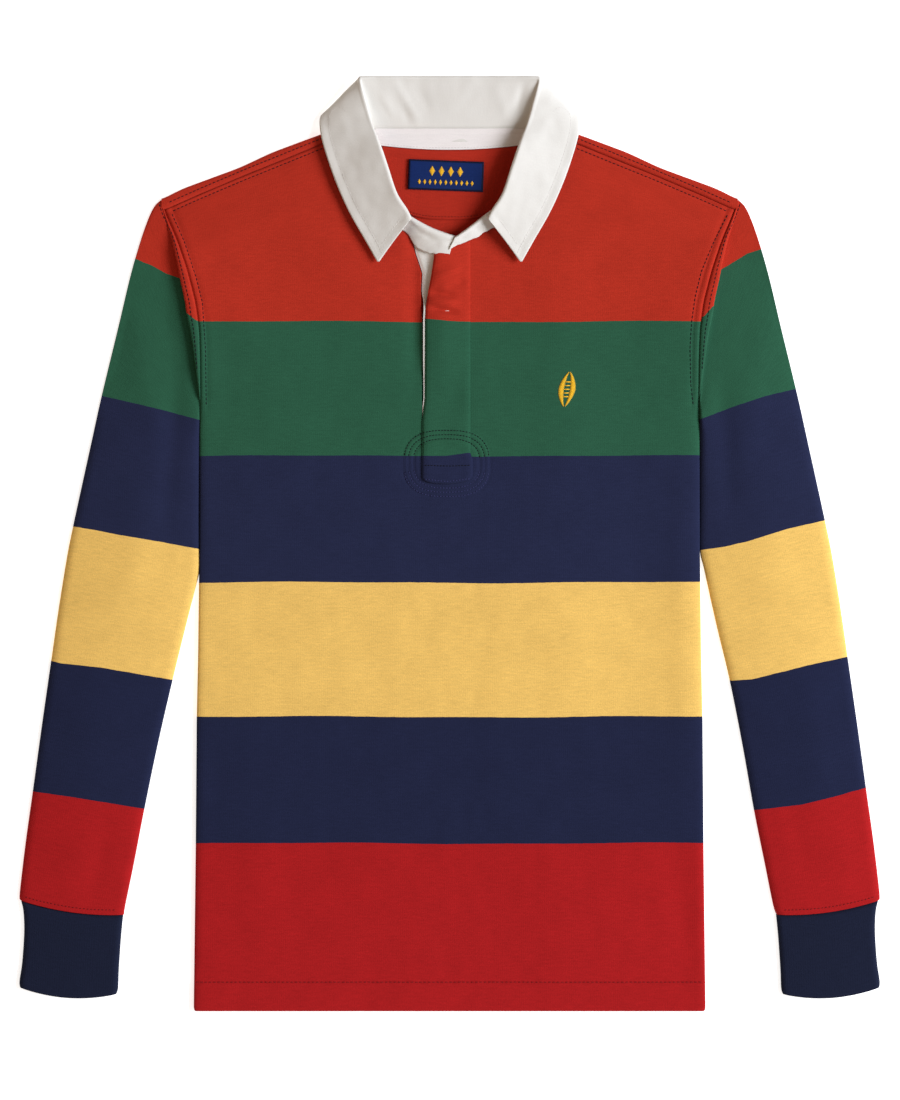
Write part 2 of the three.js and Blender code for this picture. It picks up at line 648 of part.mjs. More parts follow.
// Collar: each section runs from the neck seam up the stand, round the fold and down the fall
function collarSection(seam, fold, belly, edge) {
  const toSeam = seam.clone().sub(fold);
  const toBelly = belly.clone().sub(fold);
  const tip = toSeam.clone().normalize().add(toBelly.clone().normalize()).negate().normalize();
  const side = toSeam.clone().addScaledVector(tip, -toSeam.dot(tip)).normalize();
  const centre = fold.clone().addScaledVector(tip, -FOLD_RADIUS);
  const onRoll = (angle) => centre.clone()
    .addScaledVector(tip, FOLD_RADIUS * Math.cos(angle))
    .addScaledVector(side, FOLD_RADIUS * Math.sin(angle));
  const points = [];
  const standTop = onRoll(Math.PI / 2);
  for (let step = 0; step < STAND_STEPS; step += 1) {
    points.push(seam.clone().lerp(standTop, step / STAND_STEPS));
  }
  for (let step = 0; step <= ROLL_STEPS; step += 1) {
    points.push(onRoll(Math.PI / 2 - Math.PI * step / ROLL_STEPS));
  }
  const fall = new THREE.QuadraticBezierCurve3(onRoll(-Math.PI / 2), belly, edge);
  for (let step = 1; step <= FALL_STEPS; step += 1) {
    const point = fall.getPoint(step / FALL_STEPS);
    point.z = Math.max(point.z, TWILL / 2);
    points.push(point);
  }
  return points;
}

function collarCurves() {
  const centre = COLLAR_CENTRE;
  const lineOf = (name) => {
    const half = COLLAR_SECTIONS.map((row) => (
      new THREE.Vector3(-row[`${name}X`], row[`${name}Y`], row[`${name}Z`])
    ));
    const middle = new THREE.Vector3(centre.x, centre[`${name}Y`], centre[`${name}Z`]);
    const mirrored = [...half].reverse().map((point) => new THREE.Vector3(-point.x, point.y, point.z));
    const points = [...half, middle, ...mirrored];
    return (share) => pointAlong(points, share);
  };
  return ['seam', 'fold', 'belly', 'edge'].map(lineOf);
}

// A smooth line through the rows of a table, with the same row at the same share for each column
function pointAlong(points, share) {
  const place = share * (points.length - 1);
  const row = Math.min(Math.floor(place), points.length - 2);
  const at = (index) => points[THREE.MathUtils.clamp(index, 0, points.length - 1)];
  const [a, b, c, d] = [at(row - 1), at(row), at(row + 1), at(row + 2)];
  const t = place - row;
  const value = (axis) => 0.5 * ((2 * b[axis]) + (c[axis] - a[axis]) * t
    + (2 * a[axis] - 5 * b[axis] + 4 * c[axis] - d[axis]) * t * t
    + (3 * b[axis] - a[axis] - 3 * c[axis] + d[axis]) * t * t * t);
  return new THREE.Vector3(value('x'), value('y'), value('z'));
}

function standEnd(table) {
  const middle = table.map((row) => {
    const top = new THREE.Vector3(row.topX, row.topY, row.topZ);
    const low = new THREE.Vector3(row.lowX, row.lowY, row.lowZ);
    const points = [];
    for (let step = 0; step <= BAND_STEPS; step += 1) {
      points.push(low.clone().lerp(top, step / BAND_STEPS));
    }
    return points;
  });
  return wallFromMiddle(middle, TWILL);
}

function collar() {
  const [seam, fold, belly, edge] = collarCurves();
  const middle = [];
  for (let station = 0; station <= COLLAR_STATIONS; station += 1) {
    const share = station / COLLAR_STATIONS;
    middle.push(collarSection(seam(share), fold(share), belly(share), edge(share)));
  }
  return join(wallFromMiddle(middle, TWILL), standEnd(BAND_LEFT), standEnd(BAND_RIGHT));
}

// Inside the back neck: tape, half-moon patch and label
function tapeBottom(x) {
  return TAPE.bottom + TAPE.sideRise * (x / TAPE.half) ** 2;
}

function neckTape() {
  const rows = [0, 0.5, 1].map((down) => {
    const row = [];
    for (let step = 0; step <= TAPE.columns; step += 1) {
      const across = mix(-1, 1, step / TAPE.columns);
      const x = TAPE.half * across;
      row.push({ x, y: mix(TAPE.top, tapeBottom(x), down) });
    }
    return row;
  });
  return layeredGeometry(rows, (x, y) => backTop(x, y) + LAY_GAP, TWILL);
}

function backNeckPatch() {
  const depths = [0, 0.15, 0.3, 0.45, 0.6, 0.75, 0.88, 1];
  const rows = depths.map((down) => {
    const row = [];
    for (let step = 0; step <= PATCH.columns; step += 1) {
      const across = Math.sin(mix(-0.5, 0.5, step / PATCH.columns) * Math.PI) * PATCH.reach;
      const depth = PATCH.depth * (1 - Math.abs(across) ** PATCH.power) ** (1 / PATCH.power);
      const x = PATCH.half * across;
      row.push({ x, y: tapeBottom(x) - CURVE_GAP - depth * down });
    }
    return row;
  });
  return layeredGeometry(rows, (x, y) => backTop(x, y) + LAY_GAP, JERSEY);
}

function neckLabel() {
  const turn = THREE.MathUtils.degToRad(LABEL.turn);
  const rows = [0.5, 0, -0.5].map((v) => [-0.5, -0.25, 0, 0.25, 0.5].map((u) => {
    const [x, y] = [u * LABEL.width, v * LABEL.height];
    return {
      x: LABEL.x + x * Math.cos(turn) - y * Math.sin(turn),
      y: LABEL.y + x * Math.sin(turn) + y * Math.cos(turn),
    };
  }));
  return layeredGeometry(rows, (x, y) => backTop(x, y) + 2 * LAY_GAP + JERSEY, LABEL_CLOTH);
}

// Placket: the flap lies on the front, over the slit, and the underlap fills the slit below it
function placketFlap() {
  const heights = [1, 0.97, 0.94, 0.86, 0.8, 0.74, 0.68, 0.6, 0.4, 0.2, 0.12, 0.1, 0.05, 0.02, 0];
  const rows = heights.map((share) => {
    const row = [];
    const leftY = mix(FLAP_LEFT.at(-1).y, FLAP_LEFT[0].y, share);
    const rightY = mix(FLAP_RIGHT.at(-1).y, FLAP_RIGHT[0].y, share);
    const left = readTable(FLAP_LEFT, 'y', 'x', leftY);
    const right = readTable(FLAP_RIGHT, 'y', 'x', rightY);
    for (let step = 0; step <= FLAP_COLUMNS; step += 1) {
      const across = step / FLAP_COLUMNS;
      const sag = FLAP_SAG * Math.sin(Math.PI * across) * (1 - smooth(0, 0.04, share));
      row.push({ x: mix(left, right, across), y: mix(leftY, rightY, across) - sag });
    }
    return row;
  });
  return layeredGeometry(rows, (x, y) => frontTop(x, y) + LAY_GAP, TWILL);
}

function placketUnderlap() {
  const bottom = SLIT_EDGE.at(-1).y + SEAM_GAP;
  const between = SLIT_EDGE.map(({ y }) => y).filter((y) => y < UNDERLAP_TOP && y > bottom);
  const heights = [UNDERLAP_TOP, ...between, bottom];
  const rows = heights.map((y) => {
    const left = readTable(SLIT_EDGE, 'y', 'x', y) + CURVE_GAP;
    return [0, 0.15, 0.3, 0.5, 1].map((share) => ({ x: mix(left, SLIT_RIGHT_X - SEAM_GAP, share), y }));
  });
  return layeredGeometry(rows, (x, y) => backTop(x, y) + LAY_GAP, TWILL);
}

const shirt = new THREE.Group();

function addPiece(name, geometry, colour, roughness) {
  geometry.computeVertexNormals();
  const material = new THREE.MeshStandardMaterial({ color: colour, roughness, metalness: 0 });
  const mesh = new THREE.Mesh(geometry, material);
  mesh.name = name;
  shirt.add(mesh);
}

addPiece('back_panel', backPanel(), COLOURS.navy, 0.9);
addPiece('front_panel', frontPanel(), COLOURS.crimson, 0.9);
addPiece('sleeve_left', sleeve(-1), COLOURS.navy, 0.9);
addPiece('sleeve_right', sleeve(1), COLOURS.navy, 0.9);
addPiece('cuff_left', cuff(-1), COLOURS.rib, 0.92);
addPiece('cuff_right', cuff(1), COLOURS.rib, 0.92);
addPiece('collar', collar(), COLOURS.white, 0.85);
addPiece('neck_tape', neckTape(), COLOURS.white, 0.85);
addPiece('back_neck_patch', backNeckPatch(), COLOURS.red, 0.9);
addPiece('neck_label', neckLabel(), COLOURS.blue, 0.6);
addPiece('placket_flap', placketFlap(), COLOURS.red, 0.9);
addPiece('placket_underlap', placketUnderlap(), COLOURS.white, 0.85);

export default shirt;
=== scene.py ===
import math

import bmesh
import bpy
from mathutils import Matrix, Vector, noise
from mathutils.bvhtree import BVHTree


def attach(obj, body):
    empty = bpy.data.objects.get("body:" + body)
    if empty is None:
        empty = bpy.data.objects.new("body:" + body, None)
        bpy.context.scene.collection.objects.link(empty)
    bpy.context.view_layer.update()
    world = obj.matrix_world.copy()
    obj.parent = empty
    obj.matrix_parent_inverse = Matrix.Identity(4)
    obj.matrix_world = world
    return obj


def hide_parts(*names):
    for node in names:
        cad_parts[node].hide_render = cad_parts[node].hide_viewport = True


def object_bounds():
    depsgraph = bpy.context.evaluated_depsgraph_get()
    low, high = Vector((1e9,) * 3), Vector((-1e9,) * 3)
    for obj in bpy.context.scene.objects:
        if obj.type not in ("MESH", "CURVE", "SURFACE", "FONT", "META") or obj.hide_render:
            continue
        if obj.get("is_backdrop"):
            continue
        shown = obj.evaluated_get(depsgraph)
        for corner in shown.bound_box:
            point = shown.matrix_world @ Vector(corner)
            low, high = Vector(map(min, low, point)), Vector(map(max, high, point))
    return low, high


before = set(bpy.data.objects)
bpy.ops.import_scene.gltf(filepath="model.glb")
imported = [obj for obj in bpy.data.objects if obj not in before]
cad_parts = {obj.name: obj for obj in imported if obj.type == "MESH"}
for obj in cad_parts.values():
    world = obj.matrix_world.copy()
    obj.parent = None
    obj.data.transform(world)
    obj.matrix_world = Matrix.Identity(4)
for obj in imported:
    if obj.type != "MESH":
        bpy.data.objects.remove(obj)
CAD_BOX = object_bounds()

# The table and the light
# The shirt lies on its back on a white table that is lit a little from below. The camera looks straight
# down on it through a long lens, and a large soft lamp stands to the right, so folds shade on their left.
MM = 0.001
VIEW_HEIGHT = 0.8965
VIEW_CENTRE = (0.0003, -0.0051, 0.003)
LENS = 200.0
SENSOR = 36.0
LAMPS = {
    "key_softbox": {"place": (5.1, 0.35, 3.6), "size": 3.5, "watts": 530.0, "code": "#F4F7FF"},
    "warm_softbox": {"place": (-3.2, 0.3, 2.2), "size": 2.5, "watts": 22.0, "code": "#FFD2A6"},
    "low_softbox": {"place": (0.9, -2.4, 2.4), "size": 2.0, "watts": 20.0, "code": "#FFFFFF"},
}
ROOM_LIGHT = 0.12
ROOM_COLOUR = "#FFF0E2"
TABLE_GLOW = 0.72


def colour(code):
    """A hex sRGB colour as the linear colour that Blender's sockets take."""
    parts = [int(code[i:i + 2], 16) / 255 for i in (1, 3, 5)]
    return [c / 12.92 if c <= 0.04045 else ((c + 0.055) / 1.055) ** 2.4 for c in parts] + [1.0]


def add_node(tree, kind, links=(), **settings):
    """Adds a node with its settings. links are (input, source), and a node gives its first output."""
    node = tree.nodes.new("ShaderNode" + kind)
    for name, value in settings.items():
        if name.startswith("in_"):
            key = name[3:]
            node.inputs[int(key) if key.isdigit() else key.replace("_", " ")].default_value = value
        else:
            setattr(node, name, value)
    for socket, source in links:
        output = source.outputs[0] if isinstance(source, bpy.types.Node) else source
        tree.links.new(output, node.inputs[socket])
    return node


def new_material(name):
    """An empty material and its tree, with only the output node."""
    material = bpy.data.materials.new(name)
    material.use_nodes = True
    tree = material.node_tree
    tree.nodes.clear()
    return material, tree


def table_top():
    """Matt opal acrylic of a light table, a little brighter than the collar."""
    material, tree = new_material("opal_acrylic")
    acrylic = add_node(
        tree, "BsdfPrincipled", in_Base_Color=colour("#F4F4F3"), in_Roughness=0.9,
        in_Emission_Color=colour("#FFFFFF"), in_Emission_Strength=TABLE_GLOW
    )
    add_node(tree, "OutputMaterial", [("Surface", acrylic)])
    sheet = bmesh.new()
    bmesh.ops.create_grid(sheet, x_segments=1, y_segments=1, size=6)
    mesh = bpy.data.meshes.new("table_top")
    sheet.to_mesh(mesh)
    sheet.free()
    top = bpy.data.objects.new("table_top", mesh)
    mesh.materials.append(material)
    bpy.context.scene.collection.objects.link(top)
    top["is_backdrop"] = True


def soft_lamp(name, place, size, watts, code):
    lamp = bpy.data.lights.new(name, "AREA")
    lamp.shape = "DISK"
    lamp.size = size
    lamp.energy = watts
    lamp.color = colour(code)[:3]
    holder = bpy.data.objects.new(name, lamp)
    holder.location = place
    holder.rotation_euler = Vector(place).to_track_quat("Z", "Y").to_euler()
    bpy.context.scene.collection.objects.link(holder)


def room_light():
    world = bpy.data.worlds.new("white_room")
    world.use_nodes = True
    world.node_tree.nodes["Background"].inputs["Color"].default_value = colour(ROOM_COLOUR)
    world.node_tree.nodes["Background"].inputs["Strength"].default_value = ROOM_LIGHT
    bpy.context.scene.world = world


def overhead_camera():
    camera = bpy.data.cameras.new("overhead_camera")
    camera.lens = LENS
    camera.sensor_width = SENSOR
    holder = bpy.data.objects.new("overhead_camera", camera)
    distance = VIEW_HEIGHT * LENS / SENSOR
    holder.location = Vector(VIEW_CENTRE) + Vector((0, 0, distance))
    bpy.context.scene.collection.objects.link(holder)
    bpy.context.scene.camera = holder


table_top()
for lamp_name, lamp in LAMPS.items():
    soft_lamp(lamp_name, **lamp)
room_light()
overhead_camera()
bpy.context.scene.view_settings.view_transform = "Standard"

# Striped jersey
# The body and sleeves are cut from heavy cotton jersey, knitted in wide stripes of dyed yarn and washed
# once. Each piece carries the map "cut", its flat size in metres, and the attribute "course", the
# height in mm of the knitted row that a point belongs to, so that stripes follow the cloth.
JERSEY_WALL = 1.4
STRIPES = (
    (-1000.0, "#A91C1E"), (-246.6, "#202540"), (-142.1, "#EEC369"), (-34, "#242945"), (71.5, "#2B5A43"),
    (181.2, "#B43020"),
)
RED_JERSEY = "#B02E1F"
RAMP_LOW = -400.0
RAMP_SPAN = 800.0
# The real knit's ribs and rows are under 1 mm apart, too fine to show, so all yarns are drawn coarser
WALE_SPACING = 1.7
COURSE_SPACING = 1.3
FLECK_SIZE = 1.1
BLOTCH_SIZE = 26.0
SLUB_SIZE = 1.6
SLUB_STRETCH = 0.16
SLUB_SHARE = 0.7
KNIT_RELIEF = 0.18
FUZZ_SIZE = 1.6
FUZZ_RELIEF = 3.4


def smooth(start, end, value):
    share = min(max((value - start) / (end - start), 0.0), 1.0)
    return share * share * (3 - 2 * share)


def bell(distance):
    """A soft bump: 1 in the middle, 0.37 at a distance of 1 and nothing far out."""
    return math.exp(-(distance ** 2))


def mix(start, end, share):
    return start + (end - start) * share


def read_table(table, place, column=1):
    """A column of a table at a place between its rows, whose first column rises or falls."""
    rows = table if table[0][0] < table[-1][0] else table[::-1]
    if place <= rows[0][0]:
        return rows[0][column]
    for low, high in zip(rows, rows[1:]):
        if place <= high[0]:
            return mix(low[column], high[column], (place - low[0]) / (high[0] - low[0]))
    return rows[-1][column]


def cloth_finish(tree, base, place, wale, course, knit_depth, roughness, sheen):
    """Ends a cloth material: its yarn's bump, a soft nap and a dry surface."""
    split = add_node(tree, "SeparateXYZ", [("Vector", place)])
    turns = []
    for axis, spacing in (("X", wale), ("Y", course)):
        per_turn = 2 * math.pi / (spacing * MM)
        along = split.outputs[axis]
        turns.append(add_node(tree, "Math", [(0, along)], operation="MULTIPLY", in_1=per_turn))
    wale_wave = add_node(tree, "Math", [(0, turns[0])], operation="SINE")
    shifted = add_node(tree, "Math", [(0, wale_wave), (2, turns[1])], operation="MULTIPLY_ADD", in_1=1.2)
    course_wave = add_node(tree, "Math", [(0, shifted)], operation="SINE")
    knit = add_node(tree, "Math", [(0, wale_wave), (1, course_wave)], operation="ADD")
    stitch = add_node(tree, "Math", [(0, knit)], operation="MULTIPLY", in_1=KNIT_RELIEF)
    fuzz_scale = 1 / (FUZZ_SIZE * MM)
    fuzz = add_node(
        tree, "TexNoise", [("Vector", place)], in_Scale=fuzz_scale, in_Detail=3.0, in_Roughness=0.7
    )
    grain = add_node(tree, "Math", [(0, fuzz), (2, stitch)], operation="MULTIPLY_ADD", in_1=FUZZ_RELIEF)
    bump = add_node(tree, "Bump", [("Height", grain)], in_Strength=0.5, in_Distance=knit_depth * MM)
    cloth = add_node(
        tree, "BsdfPrincipled", [("Base Color", base), ("Normal", bump)],
        in_Roughness=roughness, in_Specular_IOR_Level=0.08, in_Sheen_Weight=sheen, in_Sheen_Roughness=0.5
    )
    add_node(tree, "OutputMaterial", [("Surface", cloth)])


def washed_colour(tree, base, place, fleck, blotch):
    """Uneven dye: flecks of paler yarn, soft blotches from the wash, and slubs along the yarn."""
    stretch = (SLUB_STRETCH, 1.0, 1.0)
    along_yarn = add_node(tree, "VectorMath", [(0, place)], operation="MULTIPLY", in_1=stretch)
    marks = (
        (place, FLECK_SIZE, 2.0, 0.65, fleck),
        (place, BLOTCH_SIZE, 4.0, 0.5, blotch),
        (along_yarn, SLUB_SIZE, 2.0, 0.6, SLUB_SHARE * fleck),
    )
    for spot, size, detail, rough, strength in marks:
        mottle = add_node(
            tree, "TexNoise", [("Vector", spot)],
            in_Scale=1 / (size * MM), in_Detail=detail, in_Roughness=rough
        )
        gain = add_node(
            tree, "MapRange", [("Value", mottle)],
            in_From_Min=0.25, in_From_Max=0.75, in_To_Min=1 - strength, in_To_Max=1 + strength
        )
        base = add_node(tree, "VectorMath", [(0, base), ("Scale", gain)], operation="SCALE")
    return base


def striped_jersey():
    """Cotton jersey, yarn-dyed: matt, slightly fuzzy, each stripe ending on a knitted row."""
    material, tree = new_material("striped_cotton_jersey")
    cut = add_node(tree, "UVMap", uv_map="cut")
    course = add_node(tree, "Attribute", attribute_name="course")
    waver = add_node(tree, "TexNoise", [("Vector", cut)], in_Scale=1 / (7 * MM), in_Detail=3.0)
    height = course.outputs["Fac"]
    place = add_node(tree, "Math", [(0, waver), (2, height)], operation="MULTIPLY_ADD", in_1=0.6)
    share = add_node(
        tree, "MapRange", [("Value", place)], in_From_Min=RAMP_LOW, in_From_Max=RAMP_LOW + RAMP_SPAN
    )
    ramp = add_node(tree, "ValToRGB", [("Fac", share)])
    ramp.color_ramp.interpolation = "CONSTANT"
    stops = ramp.color_ramp.elements
    while len(stops) < len(STRIPES):
        stops.new(0.5)
    for stop, (start, code) in zip(stops, STRIPES):
        stop.position = max((start - RAMP_LOW) / RAMP_SPAN, 0.0)
        stop.color = colour(code)
    base = washed_colour(tree, ramp, cut, 0.12, 0.05)
    cloth_finish(tree, base, cut, WALE_SPACING, COURSE_SPACING, 0.12, 0.95, 0.02)
    return material


def plain_cloth(name, code, fleck=0.08, blotch=0.03, wale=WALE_SPACING, course=COURSE_SPACING, depth=0.12):
    """One colour of cotton cloth, with its yarn spacing in mm."""
    material, tree = new_material(name)
    cut = add_node(tree, "UVMap", uv_map="cut")
    dye = add_node(tree, "RGB")
    dye.outputs[0].default_value = colour(code)
    base = washed_colour(tree, dye, cut, fleck, blotch)
    cloth_finish(tree, base, cut, wale, course, depth, 0.95, 0.02)
    return material


def cloth_piece(name, rows, wall, course=None, closed=False, up=1, offset=-1):
    """Lays cloth with a wall on rows of points in mm, and keeps its flat size and knitted rows.

    up turns an open sheet's faces up or down. offset -1 grows the wall behind the faces, and 0 on both
    sides of them.
    """
    down = len(rows) - 1
    across = len(rows[0]) - 1
    cloth = bmesh.new()
    bmesh.ops.create_grid(cloth, x_segments=across, y_segments=down, size=0.5)
    cut = cloth.loops.layers.uv.new("cut")
    row_of = cloth.verts.layers.float.new("course")
    widths = []
    for row in rows:
        lengths = [0.0]
        for here, there in zip(row, row[1:]):
            lengths.append(lengths[-1] + (there - here).length)
        widths.append([length - lengths[-1] / 2 for length in lengths])
    middle = across // 2 if not closed else across // 4
    depths = [0.0]
    for here, there in zip(rows, rows[1:]):
        depths.append(depths[-1] + (there[middle] - here[middle]).length)
    places = {}
    for vert in cloth.verts:
        places[vert.index] = (round((vert.co.x + 0.5) * across), round((vert.co.y + 0.5) * down))
    for face in cloth.faces:
        for loop in face.loops:
            i, j = places[loop.vert.index]
            loop[cut].uv = (widths[j][i] * MM, -depths[j] * MM)
    for vert in cloth.verts:
        i, j = places[vert.index]
        vert.co = rows[j][i] * MM
        if course:
            vert[row_of] = course(rows[j][i], j)
    if closed:
        bmesh.ops.remove_doubles(cloth, verts=cloth.verts, dist=1e-6)
    bmesh.ops.recalc_face_normals(cloth, faces=cloth.faces)
    piece = finish_piece(name, cloth)
    facing = sum(polygon.normal.z * polygon.area for polygon in piece.data.polygons)
    if facing * up < 0:
        piece.data.flip_normals()
    solid = piece.modifiers.new("wall", "SOLIDIFY")
    solid.thickness = wall * MM
    solid.offset = offset
    return piece


def grid_rows(down, across, place):
    """Rows of points of a sheet, from place(share down it, share across it)."""
    return [[place(j / down, i / across) for i in range(across + 1)] for j in range(down + 1)]


def finish_piece(name, shape):
    """Makes a smooth-shaded object of a bmesh, which it frees."""
    mesh = bpy.data.meshes.new(name)
    shape.to_mesh(mesh)
    shape.free()
    for polygon in mesh.polygons:
        polygon.use_smooth = True
    piece = bpy.data.objects.new(name, mesh)
    bpy.context.scene.collection.objects.link(piece)
    return piece


def apply_modifiers(piece):
    bpy.context.view_layer.update()
    evaluated = piece.evaluated_get(bpy.context.evaluated_depsgraph_get())
    mesh = bpy.data.meshes.new_from_object(evaluated)
    piece.modifiers.clear()
    old = piece.data
    piece.data = mesh
    bpy.data.meshes.remove(old)


def dress(piece, material, slot="", *nodes):
    """Gives a piece its material, hangs it under the root and hides the CAD nodes it stands for. slot, the
    record's name for it, is not used.
    """
    piece.data.materials.clear()
    piece.data.materials.append(material)
    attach(piece, "root")
    if nodes:
        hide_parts(*nodes)


JERSEY = striped_jersey()

# Back and front
# Two flat panels, hemmed at the bottom and joined down the sides. The back's shoulders come forward
# over the front, so the shoulder seam lies on the front. Air between the layers lifts the front.
HEM_Y = -380.8
HEM_DEPTH = 23.6
HEM_EXTRA = 0.8
UNDERARM_Y = 100.8
CHEST_Y = 240.0
# Outlines in mm: y and half width down the side and the armhole, then x and y along the shoulder's fold
# and seam, round half the neck and down the placket's slit
SIDE = (
    (-380.8, 208.4), (-354, 208.1), (-247, 206.8), (-142, 206), (-91, 204.9), (-34, 204.2),
    (-5, 203.8), (101, 203.6),
)
ARMHOLE = (
    (280.1, 235.5), (267.9, 231.3), (247.5, 222.2), (223.1, 213.9), (196.2, 207), (174.2, 204.2),
    (149.7, 203.6), (100.8, 203.6),
)
SHOULDER_FOLD = (
    (0, 346.1), (70.9, 346.1), (104.3, 333.9), (145.1, 318.8), (171.1, 306.6), (217.6, 289.5),
    (235.5, 280.4),
)
SHOULDER_SEAM = (
    (0, 338.8), (70.9, 338.8), (104.3, 325.3), (164.6, 301), (203.8, 284.4), (233, 271.4),
)
NECKLINE = (
    (73.3, 360), (73.3, 326.6), (70.1, 319.2), (64.4, 306.2), (54.6, 283.4), (43.2, 266.3),
    (35, 257.3),
)
SLIT = (
    (-33.5, 253.2), (-30.6, 247.5), (-28.3, 236.9), (-22.9, 220.6), (-23.5, 206), (-23.1, 191.3),
    (-22.2, 177.4), (-21.7, 166), (-22.5, 123.6), (-22.5, 70.7), (13.4, 70.7), (13.4, 250),
)
LAYER_GAP = 0.3
AIR = 2.4
NECK_LIFT = 1.6
SIDE_ROUND = 7.5
ARMHOLE_RISE = {"left": 3.8, "right": 2.7}
ARMHOLE_SPREAD = 24.0
# Rows of the mesh lie closest at the hem's stitches and at the placket's end: from, to, how many
ROW_BANDS = (
    (-372.8, -364, 3), (-364, -350, 12), (-350, 36, 84), (36, 94, 42), (94, 240, 42),
)
CLOSE_HALF = 44.0
CLOSE_COLUMNS = 33
WIDE_COLUMNS = 40
# Rows of stitches in concentric ovals round the placket's end: their middle and their half sizes
OVAL = {"x": -2.4, "y": 65.4, "power": 2.7, "rings": ((34.6, 26.9), (31.2, 23.4), (27.2, 20.0))}
GROOVE_DEPTH = 0.75
OVAL_PLUMP = 0.7
HEM_CORNER = 4.0
SLIT_DEPTH = 2.1
# Soft folds of the front: the ends of each fold's line, its half width and its height
FRONT_FOLDS = (
    (-3, 268, -8, 120, 15, 2.4), (-22, 252, -22.5, 130, 5, 0.7),
    (95, 240, 88, -150, 26, 0.9), (155, 60, 158, -260, 24, -0.9),
    (189, 120, 192, -240, 11, 0.9), (42, 40, 38, -210, 24, 0.6),
    (-60, 190, -84, -60, 26, 0.5), (-150, 230, -120, 20, 30, 0.6),
    (-170, -60, -160, -330, 28, 0.6), (60, -230, 120, -350, 30, 0.8),
    (183, -240, 196, -372, 12, -1.2), (-120, 275, -60, 180, 22, 0.8),
    (120, 270, 70, 190, 20, 0.7), (-195, 215, -150, 150, 16, 0.6),
    (195, 215, 150, 130, 16, 0.5),
)
# Faint unevenness all over the front: height, length across and down in mm, and a seed
FRONT_DRAPE = ((0.55, 42, 120, 3.7), (0.16, 13, 22, 8.1))
YOKE_ROWS = 36
EDGE_STEPS = 12


def fold_height(folds, x, y):
    """The sum of soft ridges and troughs at a place, each fading out past the ends of its line."""
    height = 0.0
    for x0, y0, x1, y1, half_width, peak in folds:
        along = Vector((x1 - x0, y1 - y0))
        reach = along.length
        along.normalize()
        from_start = Vector((x - x0, y - y0))
        forward = from_start.dot(along)
        sideways = from_start.x * along.y - from_start.y * along.x
        faded_in = smooth(-0.1 * reach, 0.35 * reach, forward)
        faded_out = smooth(0.65 * reach, 1.1 * reach, forward)
        height += peak * min(faded_in, 1 - faded_out) * bell(sideways / half_width)
    return height


def neck_lift(x, y):
    return NECK_LIFT * smooth(285, 325, y) * (1 - smooth(112, 160, abs(x)))


def panel_wall(y):
    hem_line = HEM_Y + HEM_DEPTH
    return JERSEY_WALL + HEM_EXTRA * (1 - smooth(hem_line - 1.6, hem_line + 1.6, y))


def air_at(x, y):
    """How far the front stands off the back, over their own thickness."""
    below_seam = read_table(SHOULDER_SEAM, abs(x)) - y
    return AIR * smooth(0, 45, below_seam) * mix(0.35, 1.0, smooth(HEM_Y, HEM_Y + 60, y))


def armhole_ridge(x, y):
    """The front stands up beside the armhole, where the sleeve's seam holds it."""
    inside = max(smooth_table(ARMHOLE, y) - abs(x), 0.0)
    tall = ARMHOLE_RISE["left" if x < 0 else "right"] * math.exp(-inside / ARMHOLE_SPREAD)
    return tall * smooth(96, 150, y) * (1 - smooth(225, 268, y))


def placket_rings(x, y):
    """Shallow grooves under the oval rows of stitches that hold the placket's reinforcement."""
    groove = 0.0
    u, v = abs(x - OVAL["x"]), abs(y - OVAL["y"])
    if u > 45 or v > 38:
        return 0.0
    power = OVAL["power"]
    for half_width, half_height in OVAL["rings"]:
        ring = ((u / half_width) ** power + (v / half_height) ** power) ** (1 / power)
        away = (ring - 1) * min(half_width, half_height)
        groove = max(groove, bell(away / 0.9))
    wide, high = OVAL["rings"][0]
    inside = (u / wide) ** power + (v / high) ** power < 1.05
    return (OVAL_PLUMP if inside else 0.0) - GROOVE_DEPTH * groove


def slit_hollow(x, y):
    """The left side of the front sinks along the opening, below the flap."""
    from_slit = min(x + 26.0, 0.0)
    edge = bell(from_slit / 9) * (1 - smooth(-19, -10, x))
    return SLIT_DEPTH * edge * smooth(110, 170, y) * (1 - smooth(246, 264, y))


def front_top(x, y):
    """The front's upper face, away from its edges."""
    return front_level(x, y) - slit_hollow(x, y)


def front_level(x, y):
    """The front's upper face without the hollow along the opening."""
    flat = neck_lift(x, y) + 2 * panel_wall(y) + LAYER_GAP + air_at(x, y)
    below_seam = read_table(SHOULDER_SEAM, abs(x)) - y
    calm = smooth(8, 40, below_seam)
    stitch_line = HEM_Y + HEM_DEPTH
    pucker = 0.4 * bell((y - stitch_line) / 1.6) * (1 + 0.5 * math.sin(x / 2.1))
    pucker += 0.4 * bell((below_seam - 3.5) / 1.3)
    folds = fold_height(FRONT_FOLDS, x, y)
    for size, wide, tall, seed in FRONT_DRAPE:
        folds += size * noise.noise(Vector((x / wide, y / tall, seed)))
    return flat + calm * folds + armhole_ridge(x, y) + placket_rings(x, y) - pucker


def side_half(y):
    """Half the body's width, round the hem's corner."""
    short = max(HEM_CORNER - (y - HEM_Y), 0.0)
    return read_table(SIDE, y) + 0.15 - 0.35 * (HEM_CORNER - math.sqrt(HEM_CORNER ** 2 - short ** 2))


def smooth_table(table, place, column=1):
    """A table read along a smooth curve through its rows."""
    step = 3.0
    near = [read_table(table, place + shift * step, column) for shift in (-2, -1, 0, 1, 2)]
    return (near[0] + 2 * near[1] + 2 * near[2] + 2 * near[3] + near[4]) / 8


